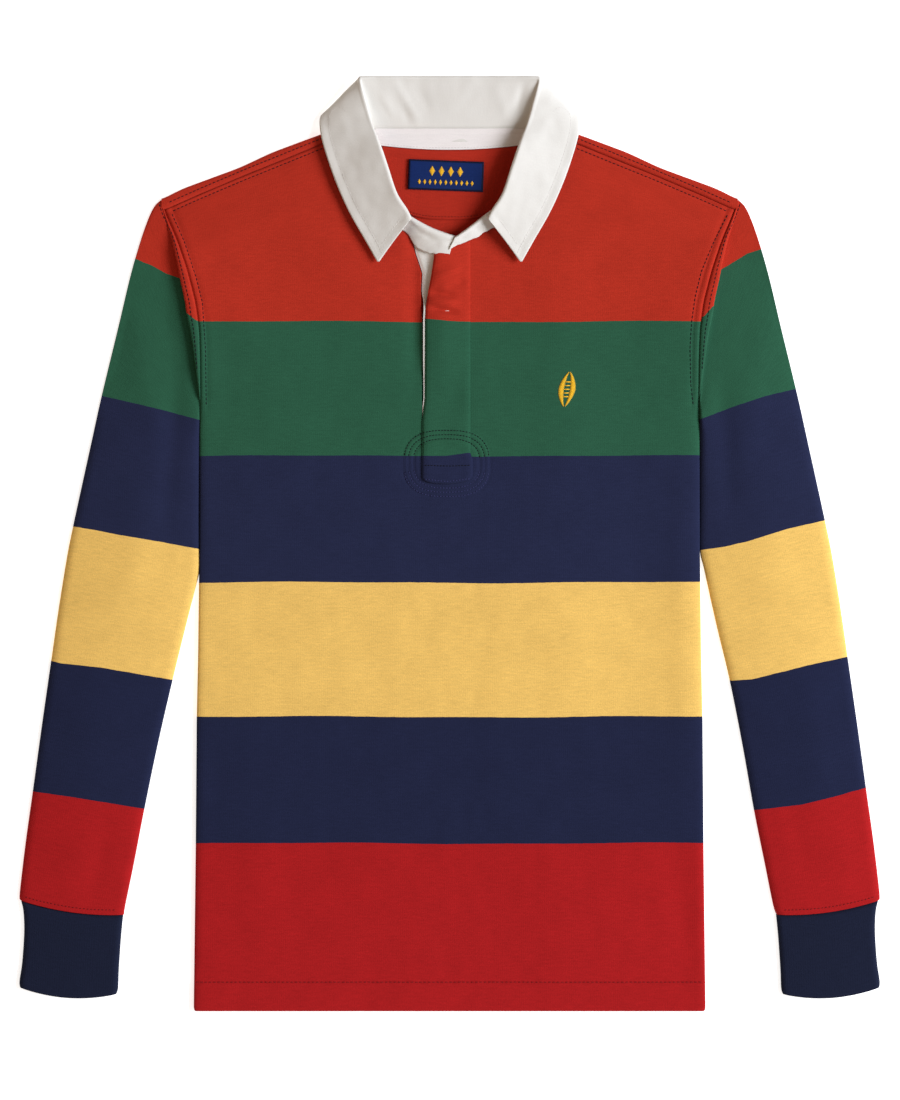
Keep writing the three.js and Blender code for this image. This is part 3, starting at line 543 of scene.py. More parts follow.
def panel_rows(top_table, layer):
    """Rows of one panel from the hem up. Rows of the yoke lean to the shoulder's slope."""
    heights = [HEM_Y + rise for rise in (0.0, 0.5, 1.2, 2.2, 3.4, 5.0)]
    for low, high, steps in ROW_BANDS:
        heights += [mix(low, high, step / steps) for step in range(steps)]
    heights.append(CHEST_Y)
    rows = [panel_row(lambda x, y=y: y, layer) for y in heights]
    for step in range(1, YOKE_ROWS + 1):
        share = step / YOKE_ROWS
        rows.append(panel_row(lambda x: mix(CHEST_Y, smooth_table(top_table, abs(x)), share), layer))
    return rows


def panel_row(height_at, layer):
    half = 204.0
    for _ in range(8):
        y = height_at(half)
        half = side_half(y) if y <= UNDERARM_Y else smooth_table(ARMHOLE, y)
    curl = 1 - smooth(UNDERARM_Y, UNDERARM_Y + 24, y)
    places = []
    for step in range(EDGE_STEPS):
        turn = math.pi / 2 * (1 - step / EDGE_STEPS)
        places.append((half - SIDE_ROUND * (1 - math.sin(turn)), turn))
    inner = half - SIDE_ROUND
    columns = [mix(inner, CLOSE_HALF, step / WIDE_COLUMNS) for step in range(WIDE_COLUMNS)]
    columns += [mix(CLOSE_HALF, 0, step / CLOSE_COLUMNS) for step in range(CLOSE_COLUMNS)]
    places += [(x, 0.0) for x in columns + [0.0] + [-x for x in reversed(columns)]]
    places += [(-x, turn) for x, turn in reversed(places[:EDGE_STEPS])]
    row = []
    for x, turn in places:
        y = height_at(x)
        row.append(Vector((x, y, panel_height(x, y, turn, curl, layer, half))))
    return row


def panel_height(x, y, turn, curl, layer, half):
    wall = panel_wall(y)
    if layer == "back":
        rise = (wall + 0.7) * (1 - math.cos(turn)) ** 3
        return neck_lift(x, y) + rise * curl
    side_middle = wall + 1.1
    top = front_top(x, y)
    rounded = side_middle + (top - side_middle) * math.cos(turn) ** 0.6 if turn > 0 else top
    from_edge = half - abs(x)
    seam_ditch = 1.5 * bell(from_edge / 1.3) + 0.5 * bell((from_edge - 6.1) / 1.2)
    return mix(top - seam_ditch, rounded, curl)


def body_course(point, row_number):
    x, y = point.x, point.y
    return y + 0.5 * math.sin(x / 46 + 1) + 0.25 * math.sin(x / 19 + y / 60)


def mark_courses(piece, course):
    """Gives every point its knitted row again, as a cut leaves new edges without one."""
    mesh = piece.data
    rows = mesh.attributes.get("course") or mesh.attributes.new("course", "FLOAT", "POINT")
    for vert, value in zip(mesh.vertices, rows.data):
        value.value = course(vert.co / MM, 0)


def cut_away(piece, outline, low, high):
    """Cuts an upright hole through a piece, with the outline in mm."""
    block = bmesh.new()
    corners = [block.verts.new((x * MM, y * MM, low * MM)) for x, y in outline]
    face = block.faces.new(corners)
    raised = bmesh.ops.extrude_face_region(block, geom=[face])
    lifted = [part for part in raised["geom"] if isinstance(part, bmesh.types.BMVert)]
    bmesh.ops.translate(block, verts=lifted, vec=(0, 0, (high - low) * MM))
    bmesh.ops.recalc_face_normals(block, faces=block.faces)
    cutter = finish_piece("cutter", block)
    trim = piece.modifiers.new("trim", "BOOLEAN")
    trim.operation = "DIFFERENCE"
    trim.solver = "EXACT"
    trim.object = cutter
    apply_modifiers(piece)
    mesh = cutter.data
    bpy.data.objects.remove(cutter)
    bpy.data.meshes.remove(mesh)


def front_panel():
    rows = panel_rows(SHOULDER_SEAM, "front")
    piece = cloth_piece("front_panel_jersey", rows, JERSEY_WALL, body_course)
    neck = [(-x, y) for x, y in NECKLINE]
    outline = neck + list(SLIT) + list(reversed(NECKLINE))
    cut_away(piece, outline, -20, 30)
    mark_courses(piece, body_course)
    dress(piece, JERSEY, "striped_jersey", "front_panel")
    return piece


def back_panel():
    turn_radius = (JERSEY_WALL + LAYER_GAP) / 2 + JERSEY_WALL / 2
    fold_table = [(x, y - turn_radius) for x, y in SHOULDER_FOLD]
    rows = panel_rows(fold_table, "back")
    top = rows[-1]
    for angle in range(20, 181, 20):
        turn = math.radians(angle)
        out = turn_radius * math.sin(turn)
        up = turn_radius * (1 - math.cos(turn))
        rows.append([point + Vector((0, out, up)) for point in top])
    for share in (0.25, 0.5, 0.75, 1.0):
        row = []
        for point in top:
            seam_y = smooth_table(SHOULDER_SEAM, abs(point.x)) + LAYER_GAP
            plump = 0.35 * math.sin(math.pi * share) - 0.5 * share ** 6
            row.append(Vector((point.x, mix(point.y, seam_y, share), point.z + 2 * turn_radius + plump)))
        rows.append(row)
    piece = cloth_piece("back_panel_jersey", rows, JERSEY_WALL, body_course, up=-1)
    apply_modifiers(piece)
    neck = [(-71, 341.6), (71, 341.6), (71, 370), (-71, 370)]
    cut_away(piece, neck, -20, 30)
    wrap = [(-73.3, 330), (73.3, 330), (73.3, 370), (-73.3, 370)]
    cut_away(piece, wrap, NECK_LIFT + JERSEY_WALL + LAYER_GAP / 2, 30)
    mark_courses(piece, body_course)
    dress(piece, JERSEY, "striped_jersey", "back_panel")
    return piece


back = back_panel()
front = front_panel()

# Sleeves
# Each sleeve is one tube of the striped jersey, sewn into the armhole and narrowing to the cuff. Beside
# the armhole seam its cloth stands up in a narrow strip, and then drops to the table's level.
# Outer x and y, inner x of the left and of the right sleeve, inner y, the share that follows the armhole,
# height and crown
SLEEVE_SECTIONS = (
    (235, 280.1, 204.2, 204.2, 112.2, 1, 3.4, 0),
    (240, 275.2, 204.2, 204.2, 109, 0.94, 3.2, 0.1),
    (245, 265.4, 204.2, 204.2, 105.7, 0.85, 3.3, 0.3),
    (251.7, 246.7, 204.2, 204.2, 102.4, 0.68, 3.6, 0.6),
    (260, 218.2, 204.2, 204.2, 98.4, 0.45, 4, 1.2),
    (269.8, 177.4, 204.2, 204.2, 92.7, 0.2, 4.4, 1.8),
    (283.5, 121.2, 204.2, 204.2, 82.9, 0, 4.4, 2.4),
    (291.8, 83.7, 204.2, 204.2, 60.1, 0, 4.4, 2.6),
    (299.9, 47, 204.3, 204.3, 27.5, 0, 4.4, 2.6),
    (307.3, 12.8, 204.4, 204.4, -3.5, 0, 4.4, 2.6),
    (311.7, -9.2, 205, 208.4, -25.5, 0, 4.4, 2.6),
    (318.7, -52.4, 215.2, 217.8, -67.9, 0, 4.4, 2.6),
    (324.9, -95.6, 225.8, 228.2, -111.1, 0, 4.4, 2.6),
    (332.5, -148.6, 238, 238.7, -164.1, 0, 4.4, 2.4),
    (339.9, -202.4, 249.1, 248.2, -217.8, 0, 4.4, 2.2),
    (345.6, -243.1, 257.1, 256.6, -259.4, 0, 4.4, 1.9),
    (350.4, -283.9, 264.3, 263.7, -294.5, 0, 4.6, 1.3),
    (350, -290.4, 265.4, 266.6, -302.2, 0, 4.8, 0.9),
)
SLEEVE_END_BOW = 4.0
# Width of the raised strip beside the armhole seam, by height
STRIP = (
    (280, 0.4), (266, 1.6), (250, 3.6), (219, 7.4), (187, 8.8), (155, 5.2), (125, 1.6),
    (112, 0.3),
)
# Where the stripes change on each sleeve: x and y of each boundary from the outer edge inwards, as
# lines across the sleeve, in the order of the body's boundaries from the top
SLEEVE_STRIPES = {
    "left": (
        ((262, 235.4), (250, 230), (242.5, 227.1), (231.1, 220.6), (219.7, 216.5), (200, 209)),
        ((283.5, 120.4), (258, 114.7), (232, 108.4), (206.7, 101.6), (190, 97)),
        ((307.8, 11.7), (291.4, 9), (271.9, 5.1), (235.2, -1.1), (204.2, -6.8)),
        ((324.9, -96.4), (317.5, -98.5), (283.3, -102.1), (254.8, -107), (227, -111.9)),
        ((340.1, -204.4), (310, -208.6), (280, -213.5), (249, -218.7), (240, -220)),
    ),
    "right": (
        ((262, 244), (253, 240.2), (242.4, 236.8), (231, 229.6), (221.2, 223.9), (200, 214)),
        ((281.9, 126.1), (257.9, 120.4), (231, 111.5), (204.9, 101.6), (190, 97)),
        ((306, 16.5), (275, 9.5), (243.2, -0.7), (223.6, -5.1), (204.9, -7.6)),
        ((324.5, -93.2), (292.1, -100.2), (269.3, -105.9), (246.5, -111.6), (230.2, -112.7)),
        ((339.1, -201.5), (313, -208.9), (286.4, -215.4), (250.5, -219.5), (240, -220)),
    ),
}
# Soft folds of each sleeve, as on the body
SLEEVE_FOLDS = {
    "left": (
        (-262, 215, -236, 60, 12, 0.8), (-222, 150, -232, 0, 9, -1.4),
        (-250, 60, -262, -60, 16, 0.7), (-240, -10, -300, -60, 12, 0.5),
        (-285, -90, -300, -220, 16, 0.6), (-300, -230, -316, -292, 10, 0.5),
        (-276, -200, -290, -292, 8, -0.5),
    ),
    "right": (
        (262, 215, 238, 60, 12, 0.8), (220, 150, 230, 10, 9, -1.2),
        (252, 70, 268, -70, 16, 0.7), (238, -20, 296, -50, 12, 0.5),
        (290, -80, 306, -230, 16, 0.7), (312, -220, 326, -290, 10, 0.5),
        (280, -210, 292, -292, 8, -0.5),
    ),
}
# How far each sleeve rises from its outer fold to the armhole, the share of its width that stays at
# its height, and how far it sinks beside the strip, in mm
SLEEVE_TILT = {"left": 2.4, "right": 7.0}
TILT_AXIS = {"left": 0.2, "right": 0.4}
HOLLOW = {"left": 3.3, "right": 0.5}
# Share of the strip's width, and its height over the body, from the seam to the drop
STRIP_PROFILE = {
    "left": ((-0.04, -2.3), (0.08, -0.6), (0.24, 0.0), (0.55, -0.1), (0.86, -0.4), (1.0, -1.1)),
    "right": ((-0.04, -2.0), (0.08, -0.5), (0.24, 0.0), (0.55, 0.1), (0.86, 0.0), (1.0, -0.6)),
}
# How far below the body's the strip's stripe starts, at the seam and at the strip's outer edge
STRIP_SHIFT = {"left": (0.7, 7.0), "right": (3.6, 13.0)}
BODY_BOUNDARIES = [start for start, _ in reversed(STRIPES[1:])]
STRIP_ROWS = len(STRIP_PROFILE["left"])
# A flattened tube: steps of its two layers, and how far its folds round the lower one
TOP_STEPS = 44
FLOOR_STEPS = 20
FLOOR_ROUND = 3.0
# The sleeve's folds: their height and rounding, and the lowest that its upper layer sinks
SLEEVE_MIDDLE = 1.7
SLEEVE_ROUND = 7.0
SLEEVE_FLOOR = 1.6
SLEEVE_ROWS = 120
# The first row past the strip, as a fraction of the first section
FIRST_ROW = 0.16


def sleeve_course(side):
    """The knitted row at a place on a sleeve, so that its stripes fall on the drawn lines."""
    lines = [tuple(sorted(line)) for line in SLEEVE_STRIPES[side]]

    def course(point, row_number):
        x = abs(point.x)
        if row_number < STRIP_ROWS:
            at_seam, at_fold = STRIP_SHIFT[side]
            return point.y - mix(at_seam, at_fold, smooth(0, 9, x - smooth_table(ARMHOLE, point.y)))
        heights = [read_table(line, x) for line in lines]
        above = 0
        while above < len(heights) - 1 and point.y < heights[above + 1]:
            above += 1
        if point.y > heights[0]:
            return BODY_BOUNDARIES[0] + (point.y - heights[0])
        if above == len(heights) - 1:
            return BODY_BOUNDARIES[-1] + (point.y - heights[-1])
        share = (heights[above] - point.y) / (heights[above] - heights[above + 1])
        return mix(BODY_BOUNDARIES[above], BODY_BOUNDARIES[above + 1], share)

    return course


def through_rows(table, place, column):
    """A smooth curve through a table's rows, at a fractional row number."""
    last = len(table) - 1
    row = min(int(place), last - 1)
    t = place - row
    a, b, c, d = (table[min(max(row + k, 0), last)][column] for k in (-1, 0, 1, 2))
    curve = (2 * a - 5 * b + 4 * c - d) * t * t + (3 * b - a - 3 * c + d) * t ** 3
    return 0.5 * (2 * b + (c - a) * t + curve)


def rounded(width, distance, radius):
    """Height share of a flattened tube's layer: 0 at its two folds, and 1 past their rounding."""
    near = min(distance, width - distance)
    return math.sqrt(max(1 - (1 - min(near / radius, 1.0)) ** 2, 0.0))


def tube_ring(width, top_at, side_middle, side_round):
    """Places round a flattened tube: (distance from its outer fold, height, True on the upper layer)."""
    ring = []
    for upper, steps, crowding in ((True, TOP_STEPS, 0.72), (False, FLOOR_STEPS, 0.8)):
        for step in range(0 if upper else 1, steps + 1 if upper else steps):
            share = step / steps
            spread = share - math.sin(2 * math.pi * share) / (2 * math.pi) * crowding
            distance = width * (spread if upper else 1 - spread)
            if upper:
                height = side_middle + (top_at(spread) - side_middle) * rounded(width, distance, side_round)
            else:
                height = side_middle * (1 - rounded(width, distance, FLOOR_ROUND))
            ring.append((distance, height, upper))
    return ring + ring[:1]


def sleeve(side):
    sign = -1 if side == "left" else 1
    inner = 2 if side == "left" else 3
    first = SLEEVE_SECTIONS[0]

    def relief(x, y, rise, number, share):
        """Slope of the upper layer, and its hollow beside the strip."""
        tilt = SLEEVE_TILT[side] * (share - TILT_AXIS[side]) * (1 - smooth(3, 9, number))
        past = max(abs(x) - smooth_table(ARMHOLE, y) - read_table(STRIP, y), 0.0)
        sunk = HOLLOW[side] * mix(0.4, 1.0, smooth(0, 20, past))
        return rise * (tilt - sunk * smooth(60, 150, y) * (1 - smooth(225, 270, y)))

    def ring_row(number, strip=None):
        values = [through_rows(SLEEVE_SECTIONS, number, column) for column in range(8)]
        outer_x, outer_y, inner_x, inner_y = (values[column] for column in (0, 1, inner, 4))
        inner_x -= 0.65 * (1 - smooth(204.5, 207, inner_x))
        follow, height, crown = values[5:]
        width = math.hypot(outer_x - inner_x, outer_y - inner_y)
        bow = SLEEVE_END_BOW * smooth(14, 17, number)
        push = strip[0] if strip else 1.0
        ring = tube_ring(
            width, lambda share: height + crown * (1 - (2 * share - 1) ** 2), SLEEVE_MIDDLE, SLEEVE_ROUND
        )
        row = []
        for distance, z, upper in ring:
            share = distance / width
            start_x, start_y = mix(first[0], first[2], share), mix(first[1], first[4], share)
            seam_x = smooth_table(ARMHOLE, start_y) + 0.1 + push * read_table(STRIP, start_y)
            x = sign * (mix(outer_x, inner_x, share) + max(follow, 0.0) * (seam_x - start_x))
            y = mix(outer_y, inner_y, share) - bow * math.sin(math.pi * share) ** 0.8
            if upper and strip:
                body = front_top(sign * smooth_table(ARMHOLE, y), y)
                z = mix(z, body + strip[1], smooth(0, 14, distance) * smooth(0, 10, width - distance))
            elif upper:
                calm = smooth(0.4, 3.0, number) * smooth(0, 9, min(distance, width - distance))
                z += calm * fold_height(SLEEVE_FOLDS[side], x, y)
                z += relief(x, y, rounded(width, distance, SLEEVE_ROUND), number, share)
                z = max(z, SLEEVE_FLOOR)
            row.append(Vector((x, y, max(z, 0.0))))
        return row

    rows = [ring_row(0.0, strip) for strip in STRIP_PROFILE[side]]
    last = len(SLEEVE_SECTIONS) - 1
    for step in range(SLEEVE_ROWS + 1):
        rows.append(ring_row(mix(FIRST_ROW, last, (step / SLEEVE_ROWS) ** 1.15)))
    piece = cloth_piece(f"sleeve_{side}_jersey", rows, JERSEY_WALL, sleeve_course(side), closed=True, up=0)
    dress(piece, JERSEY, "striped_jersey", f"sleeve_{side}")
    return piece


sleeves = {side: sleeve(side) for side in ("left", "right")}

# Cuffs
# Close-knit cotton rib, doubled and sewn to the sleeve's end, navy and a little darker than the stripe.
CUFF_WALL = 2.0
CUFF_ROWS = 30
CUFF_MIDDLE = 2.2
CUFF_ROUND = 5.0
# Outer x and y, inner x and y, bow of the row, height and crown
CUFF_SECTIONS = (
    (349.4, -290.6, 266, -302.4, 4, 5, 0.6),
    (347.4, -299.8, 266.9, -310.8, 4, 5.4, 0.8),
    (346.8, -316.5, 268.1, -324.6, 4.5, 5.4, 0.8),
    (348.4, -340.9, 269.6, -347.4, 5, 5.4, 0.8),
    (350.6, -356.2, 270.2, -362.1, 5.5, 5.4, 0.7),
    (350.2, -361.4, 271.6, -366.8, 6, 5, 0.5),
)


def cuff(side):
    sign = -1 if side == "left" else 1
    rows = []
    for step in range(CUFF_ROWS + 1):
        number = (len(CUFF_SECTIONS) - 1) * step / CUFF_ROWS
        outer_x, outer_y, inner_x, inner_y, bow, height, crown = (
            through_rows(CUFF_SECTIONS, number, column) for column in range(7)
        )
        width = math.hypot(outer_x - inner_x, outer_y - inner_y)
        past_end = smooth(0, 2, step)
        tall = height * mix(0.5, 1.0, past_end)
        row = []
        ring = tube_ring(
            width, lambda share: tall + crown * (1 - (2 * share - 1) ** 2), CUFF_MIDDLE, CUFF_ROUND
        )
        for distance, z, _ in ring:
            share = distance / width
            y = mix(outer_y, inner_y, share) + 0.7 * (1 - past_end) - bow * math.sin(math.pi * share) ** 0.8
            row.append(Vector((sign * mix(outer_x, inner_x, share), y, z)))
        rows.append(row)
    piece = cloth_piece(f"cuff_{side}_rib", rows, CUFF_WALL, closed=True, up=0)
    dress(piece, CUFF_RIB, "navy_cuff_knit", f"cuff_{side}")
    return piece


CUFF_RIB = plain_cloth("navy_cotton_rib", "#1B2034", fleck=0.12, wale=1.9, course=1.4, depth=0.2)
cuffs = {side: cuff(side) for side in ("left", "right")}

# Collar
# White cotton twill, two layers thick and turned. The stand rises from the neck seam to the folded
# edge, and the fall lies open over the shoulders and under the back of the neck.
TWILL_WALL = 1.2
# Neck seam, folded edge, belly of the fall and outer edge, from a front tip to the middle of the back
COLLAR_SECTIONS = (
    ((40.4, 257.3, 4.1), (31.5, 264.6, 9.2), (44.6, 247.8, 7.6), (58.2, 228.3, 4.9)),
    ((47.3, 267.1, 4.1), (34.7, 271.2, 10.2), (51.6, 259.3, 7.8), (67.6, 245.1, 4.7)),
    ((58.7, 283.4, 4.2), (43.4, 285, 11.6), (62.7, 278.3, 8.6), (81.1, 268.7, 4.7)),
    ((68.5, 307.8, 5.2), (50.8, 307, 13), (71.8, 301.7, 9.8), (91.8, 292.3, 5.2)),
    ((71.3, 323.3, 6), (56.6, 324.1, 14), (79.5, 324, 11), (100.7, 317.5, 6.4)),
    ((69.7, 330.6, 5.6), (63.6, 342.1, 14.7), (86.2, 345.2, 11.4), (105.4, 336.6, 6.2)),
    ((65.2, 334.7, 4.1), (68.5, 358.4, 15.2), (90.5, 360.4, 11), (104.4, 349, 3.4)),
    ((61.5, 336.8, 4), (72.1, 371.4, 15), (88.4, 372.4, 6), (94.6, 350, 0.7)),
    ((57, 337.3, 4), (73.2, 378.4, 14.4), (77.6, 378, -1), (82.4, 341, 0.6)),
    ((52.2, 337.6, 4), (69.1, 379.7, 13.6), (70.2, 376, -3), (73, 334.5, 0.6)),
    ((44, 337.6, 4), (57, 379.9, 12.6), (57.4, 374.6, -3), (58.7, 329.8, 0.6)),
    ((29.3, 337.6, 4), (36.7, 379.9, 12), (36.9, 374.4, -3), (37.5, 328.2, 0.6)),
    ((13.9, 337.6, 4), (16.3, 379.9, 12), (16.5, 374.4, -3), (17.1, 327.4, 0.6)),
    ((0, 337.6, 4), (0, 379.9, 12), (0, 374.4, -3), (0, 327.4, 0.6)),
)
FOLD_RADIUS = 1.6
# Steps of the mesh up the stand, round the fold, down the fall and along the collar
STAND_STEPS = 10
ROLL_STEPS = 10
FALL_STEPS = 34
STATIONS = 200
# The turned edge is thicker as far in as RIM, and stitched at TOPSTITCH
RIM = 4.2
TOPSTITCH = 7.4
TIP_RADIUS = 1.9
# How far the folded edge and the outer edge of the fall stand up from the shirt, in mm
FOLD_RISE = 5.0
LEFT_EXTRA = 0.55
EDGE_RISE = 3.4
RIM_RISE = 0.22
TOPSTITCH_DEPTH = 0.13
# Steps of the mesh along and across each front end of the stand
BAND_STEPS = 60
BAND_ACROSS = 18
# Front ends of the stand: the upper and lower edge, from inside the collar to the front opening
BAND_LEFT = (
    ((-36.6, 270, 7.6), (-40, 257, 3.4)),
    ((-30.6, 265.6, 8.8), (-33.4, 252, 3.1)),
    ((-21.6, 260.4, 8.9), (-28, 242.6, 3)),
    ((-12.8, 256.2, 8.6), (-19.6, 237.6, 3.9)),
    ((-3.6, 252.8, 8), (-10, 235.6, 5.6)),
    ((4.4, 250.3, 6.8), (-0.6, 234.2, 5.6)),
)
BAND_RIGHT = (
    ((38.4, 274, 8), (42, 258, 4.4)),
    ((31.4, 269.3, 9.2), (33.6, 256.6, 4.8)),
    ((22.6, 262.6, 9.2), (22, 249.8, 5.8)),
    ((14.6, 256.4, 9.1), (12.6, 245.6, 6.2)),
    ((8.6, 252, 9.1), (5, 242.4, 6.9)),
    ((4.6, 249.4, 9), (-0.6, 239.8, 7.3)),
)
# Creases pressed into the twill, seen from above: line ends, half width and height in mm
STAND_CREASES = (
    (-46, 377, -21, 338, 2.6, 0.9), (-40, 356, -31, 342, 2.2, -0.8),
    (-57, 366, -44, 348, 3, 0.7), (-28, 372, -14, 350, 3.2, -0.5),
    (60, 376, 55, 350, 3.5, -0.8), (38, 374, 48, 344, 3.4, 0.5),
)


def curve_point(points, share):
    """A smooth curve through points, which are passed at even shares."""
    place = share * (len(points) - 1)
    return Vector([through_rows(points, place, axis) for axis in range(3)])


def collar_section(seam, fold, belly, edge):
    """Points of one section, from the neck seam up the stand, over the fold and down the fall."""
    to_seam = seam - fold
    to_belly = belly - fold
    tip = -(to_seam.normalized() + to_belly.normalized()).normalized()
    side = (to_seam - tip * to_seam.dot(tip)).normalized()
    centre = fold - tip * FOLD_RADIUS
    points = []

    def on_roll(angle):
        return centre + tip * FOLD_RADIUS * math.cos(angle) + side * FOLD_RADIUS * math.sin(angle)

    start = on_roll(math.pi / 2)
    for step in range(STAND_STEPS):
        points.append(seam.lerp(start, step / STAND_STEPS))
    for step in range(ROLL_STEPS + 1):
        points.append(on_roll(math.pi / 2 - math.pi * step / ROLL_STEPS))
    top = points[-1]
    for step in range(1, FALL_STEPS + 1):
        t = step / FALL_STEPS
        point = top * (1 - t) ** 2 + belly * 2 * t * (1 - t) + edge * t * t
        point.z = max(point.z, TWILL_WALL / 2)
        points.append(point)
    return points


def collar():
    lines = []
    for column in range(4):
        right = [Vector(row[column]) for row in COLLAR_SECTIONS]
        left = [Vector((-p.x, p.y, p.z)) for p in right]
        lines.append(left + right[-2::-1])
    rows = []
    for station in range(STATIONS + 1):
        section = collar_section(*(curve_point(line, station / STATIONS) for line in lines))
        rows.append([raised_twill(point, k) for k, point in enumerate(section)])
    turned_edge(rows)
    for point in (point for row in rows for point in row):
        point.z = max(point.z, TWILL_WALL / 2)
    piece = cloth_piece("collar_twill", rows, TWILL_WALL, up=0, offset=0)
    dress(piece, TWILL, "white_twill", "collar")
    return piece


def turned_edge(rows):
    """Thickens the fall's turned edge, presses a line inside it and rounds the two tips."""
    last = len(rows) - 1
    start = STAND_STEPS + ROLL_STEPS + 1
    end = len(rows[0]) - 1
    from_edge = [[0.0] * (end + 1) for _ in rows]
    from_front = [[1000.0] * (end + 1) for _ in rows]
    for j, row in enumerate(rows):
        for k in range(end - 1, start - 1, -1):
            from_edge[j][k] = from_edge[j][k + 1] + (row[k] - row[k + 1]).length
    for k in range(start, end + 1):
        for order in (range(1, last // 2), range(last - 1, last // 2, -1)):
            first = 0 if order.step > 0 else last
            from_front[first][k] = 0.0
            for j in order:
                before = j - order.step
                from_front[j][k] = from_front[before][k] + (rows[j][k] - rows[before][k]).length
    moved = []
    for front in (0, last):
        inward = 1 if front == 0 else -1
        j = front
        while from_front[j][end] < TIP_RADIUS:
            j += inward
        k = end
        while from_edge[front][k] < TIP_RADIUS:
            k -= 1
        centre = rows[j][k].copy()
        for near_j in range(front, j, inward):
            for near_k in range(k + 1, end + 1):
                a = TIP_RADIUS - from_front[near_j][near_k]
                b = TIP_RADIUS - from_edge[near_j][near_k]
                away = math.hypot(max(a, 0.0), max(b, 0.0))
                if away > TIP_RADIUS:
                    moved.append((near_j, near_k, rows[near_j][near_k].lerp(centre, 1 - TIP_RADIUS / away)))
    for j, row in enumerate(rows):
        for k in range(start, end + 1):
            near = min(from_edge[j][k], from_front[j][k])
            rim = RIM_RISE * (1 - smooth(RIM - 0.8, RIM + 1.0, near))
            row[k] = row[k] + Vector((0, 0, rim - TOPSTITCH_DEPTH * bell((near - TOPSTITCH) / 1.1)))
    for j, k, point in moved:
        rows[j][k] = Vector((point.x, point.y, rows[j][k].z))


def raised_twill(point, k):
    """Lifts a point of the collar with the front that it lies on, and creases the stand."""
    lift = air_at(point.x, point.y) if point.y < 336 else 0.0
    past_fold = max(k - STAND_STEPS - ROLL_STEPS, 0) / FALL_STEPS
    raised = FOLD_RISE * smooth(0, STAND_STEPS, k) * (1 - past_fold) ** 1.4
    if point.x < 0:
        raised *= 1 + LEFT_EXTRA * (1 - smooth(262, 318, point.y))
    raised += EDGE_RISE * past_fold * mix(0.5, 1.0, smooth(228, 252, point.y))
    lift += raised * (1 - smooth(318, 350, point.y))
    if k < STAND_STEPS:
        lift += fold_height(STAND_CREASES, point.x, point.y) * smooth(0, 3, k)
    soft = 0.9 * noise.noise(point / 26) + 0.35 * noise.noise(point / 9 + Vector((5, 2, 7)))
    return point + Vector((0, 0, lift + soft * smooth(1, 6, k)))


def stand_end(name, table):
    """A front end of the stand: its upper edge is rolled, and small creases cross it."""
    top = [Vector(row[0]) for row in table]
    low = [Vector(row[1]) for row in table]

    def place(along, share):
        point = curve_point(low, along).lerp(curve_point(top, along), share)
        roll = 1.1 * bell((share - 0.84) / 0.14) - 1.3 * smooth(0.93, 1.0, share)
        crease = 0.55 * noise.noise(Vector((point.x / 7, point.y / 5, 1.3))) * math.sin(math.pi * share)
        ragged = 0.8 * noise.noise(Vector((point.x / 3.2, 0.4, 2.2))) * (1 - smooth(0, 0.25, share))
        lift = roll + crease + 0.4 * math.sin(math.pi * share) + air_at(point.x, point.y)
        return point + Vector((0, ragged, lift))

    piece = cloth_piece(name, grid_rows(BAND_STEPS, BAND_ACROSS, place), TWILL_WALL, offset=0)
    dress(piece, TWILL, "white_twill")
    return piece


TWILL = plain_cloth(
    "white_cotton_twill", "#E4E2DB", fleck=0.02, blotch=0.012, wale=1.1, course=1.1, depth=0.05
)
collar_piece = collar()
stand_end("stand_end_left_twill", BAND_LEFT)
stand_end("stand_end_right_twill", BAND_RIGHT)

# Inside the back neck
# A white twill tape covers the neck seam, a half-moon of red jersey backs it, and a small woven label
# is sewn on the half-moon.
TAPE = {"half": 61.5, "top": 338.3, "seam": 333.9, "bottom": 321.0, "rise": 4.2}
PATCH = {"half": 55.4, "depth": 56.4, "power": 3.4, "reach": 0.985}
LABEL = {"x": -3.0, "y": 299.9, "width": 61.4, "height": 24.6, "turn": -2.2}
LABEL_WALL = 1.0


def back_top(x, y):
    return neck_lift(x, y) + JERSEY_WALL


def tape_bottom(x):
    return TAPE["bottom"] + TAPE["rise"] * (x / TAPE["half"]) ** 2


def neck_tape():
    def place(share, across):
        x = TAPE["half"] * mix(-1, 1, across)
        y = mix(TAPE["top"], tape_bottom(x), share)
        z = back_top(x, y) + LAYER_GAP + TWILL_WALL
        z += 0.4 * (1 - smooth(0.0, 0.2, share)) - 0.4 * bell((y - TAPE["seam"]) / 0.8)
        z += 0.35 * smooth(0.45, 0.8, share) * (1 + 0.4 * math.sin(x / 7.5))
        return Vector((x, y, z))

    piece = cloth_piece("neck_tape_twill", grid_rows(24, 80, place), TWILL_WALL)
    dress(piece, TAPE_TWILL, "white_tape", "neck_tape")
    return piece


def half_moon(across, inset=0.0):
    """x, y of the half-moon's straight edge and its depth there, at a share across it."""
    reach = math.sin(mix(-0.5, 0.5, across) * math.pi) * PATCH["reach"]
    depth = (PATCH["depth"] - 1.1 * inset) * (1 - abs(reach) ** PATCH["power"]) ** (1 / PATCH["power"])
    x = (PATCH["half"] - inset) * reach
    return x, tape_bottom(x) - 0.4, depth


def back_neck_patch():
    def place(share, across):
        x, top, depth = half_moon(across)
        y = top - depth * share
        ripple = 0.25 * math.sin(x / 13 + 1) * math.sin(math.pi * share)
        return Vector((x, y, back_top(x, y) + LAYER_GAP + JERSEY_WALL + ripple))

    piece = cloth_piece("back_neck_patch_jersey", grid_rows(40, 60, place), JERSEY_WALL)
    dress(piece, RED, "red_jersey", "back_neck_patch")
    return piece


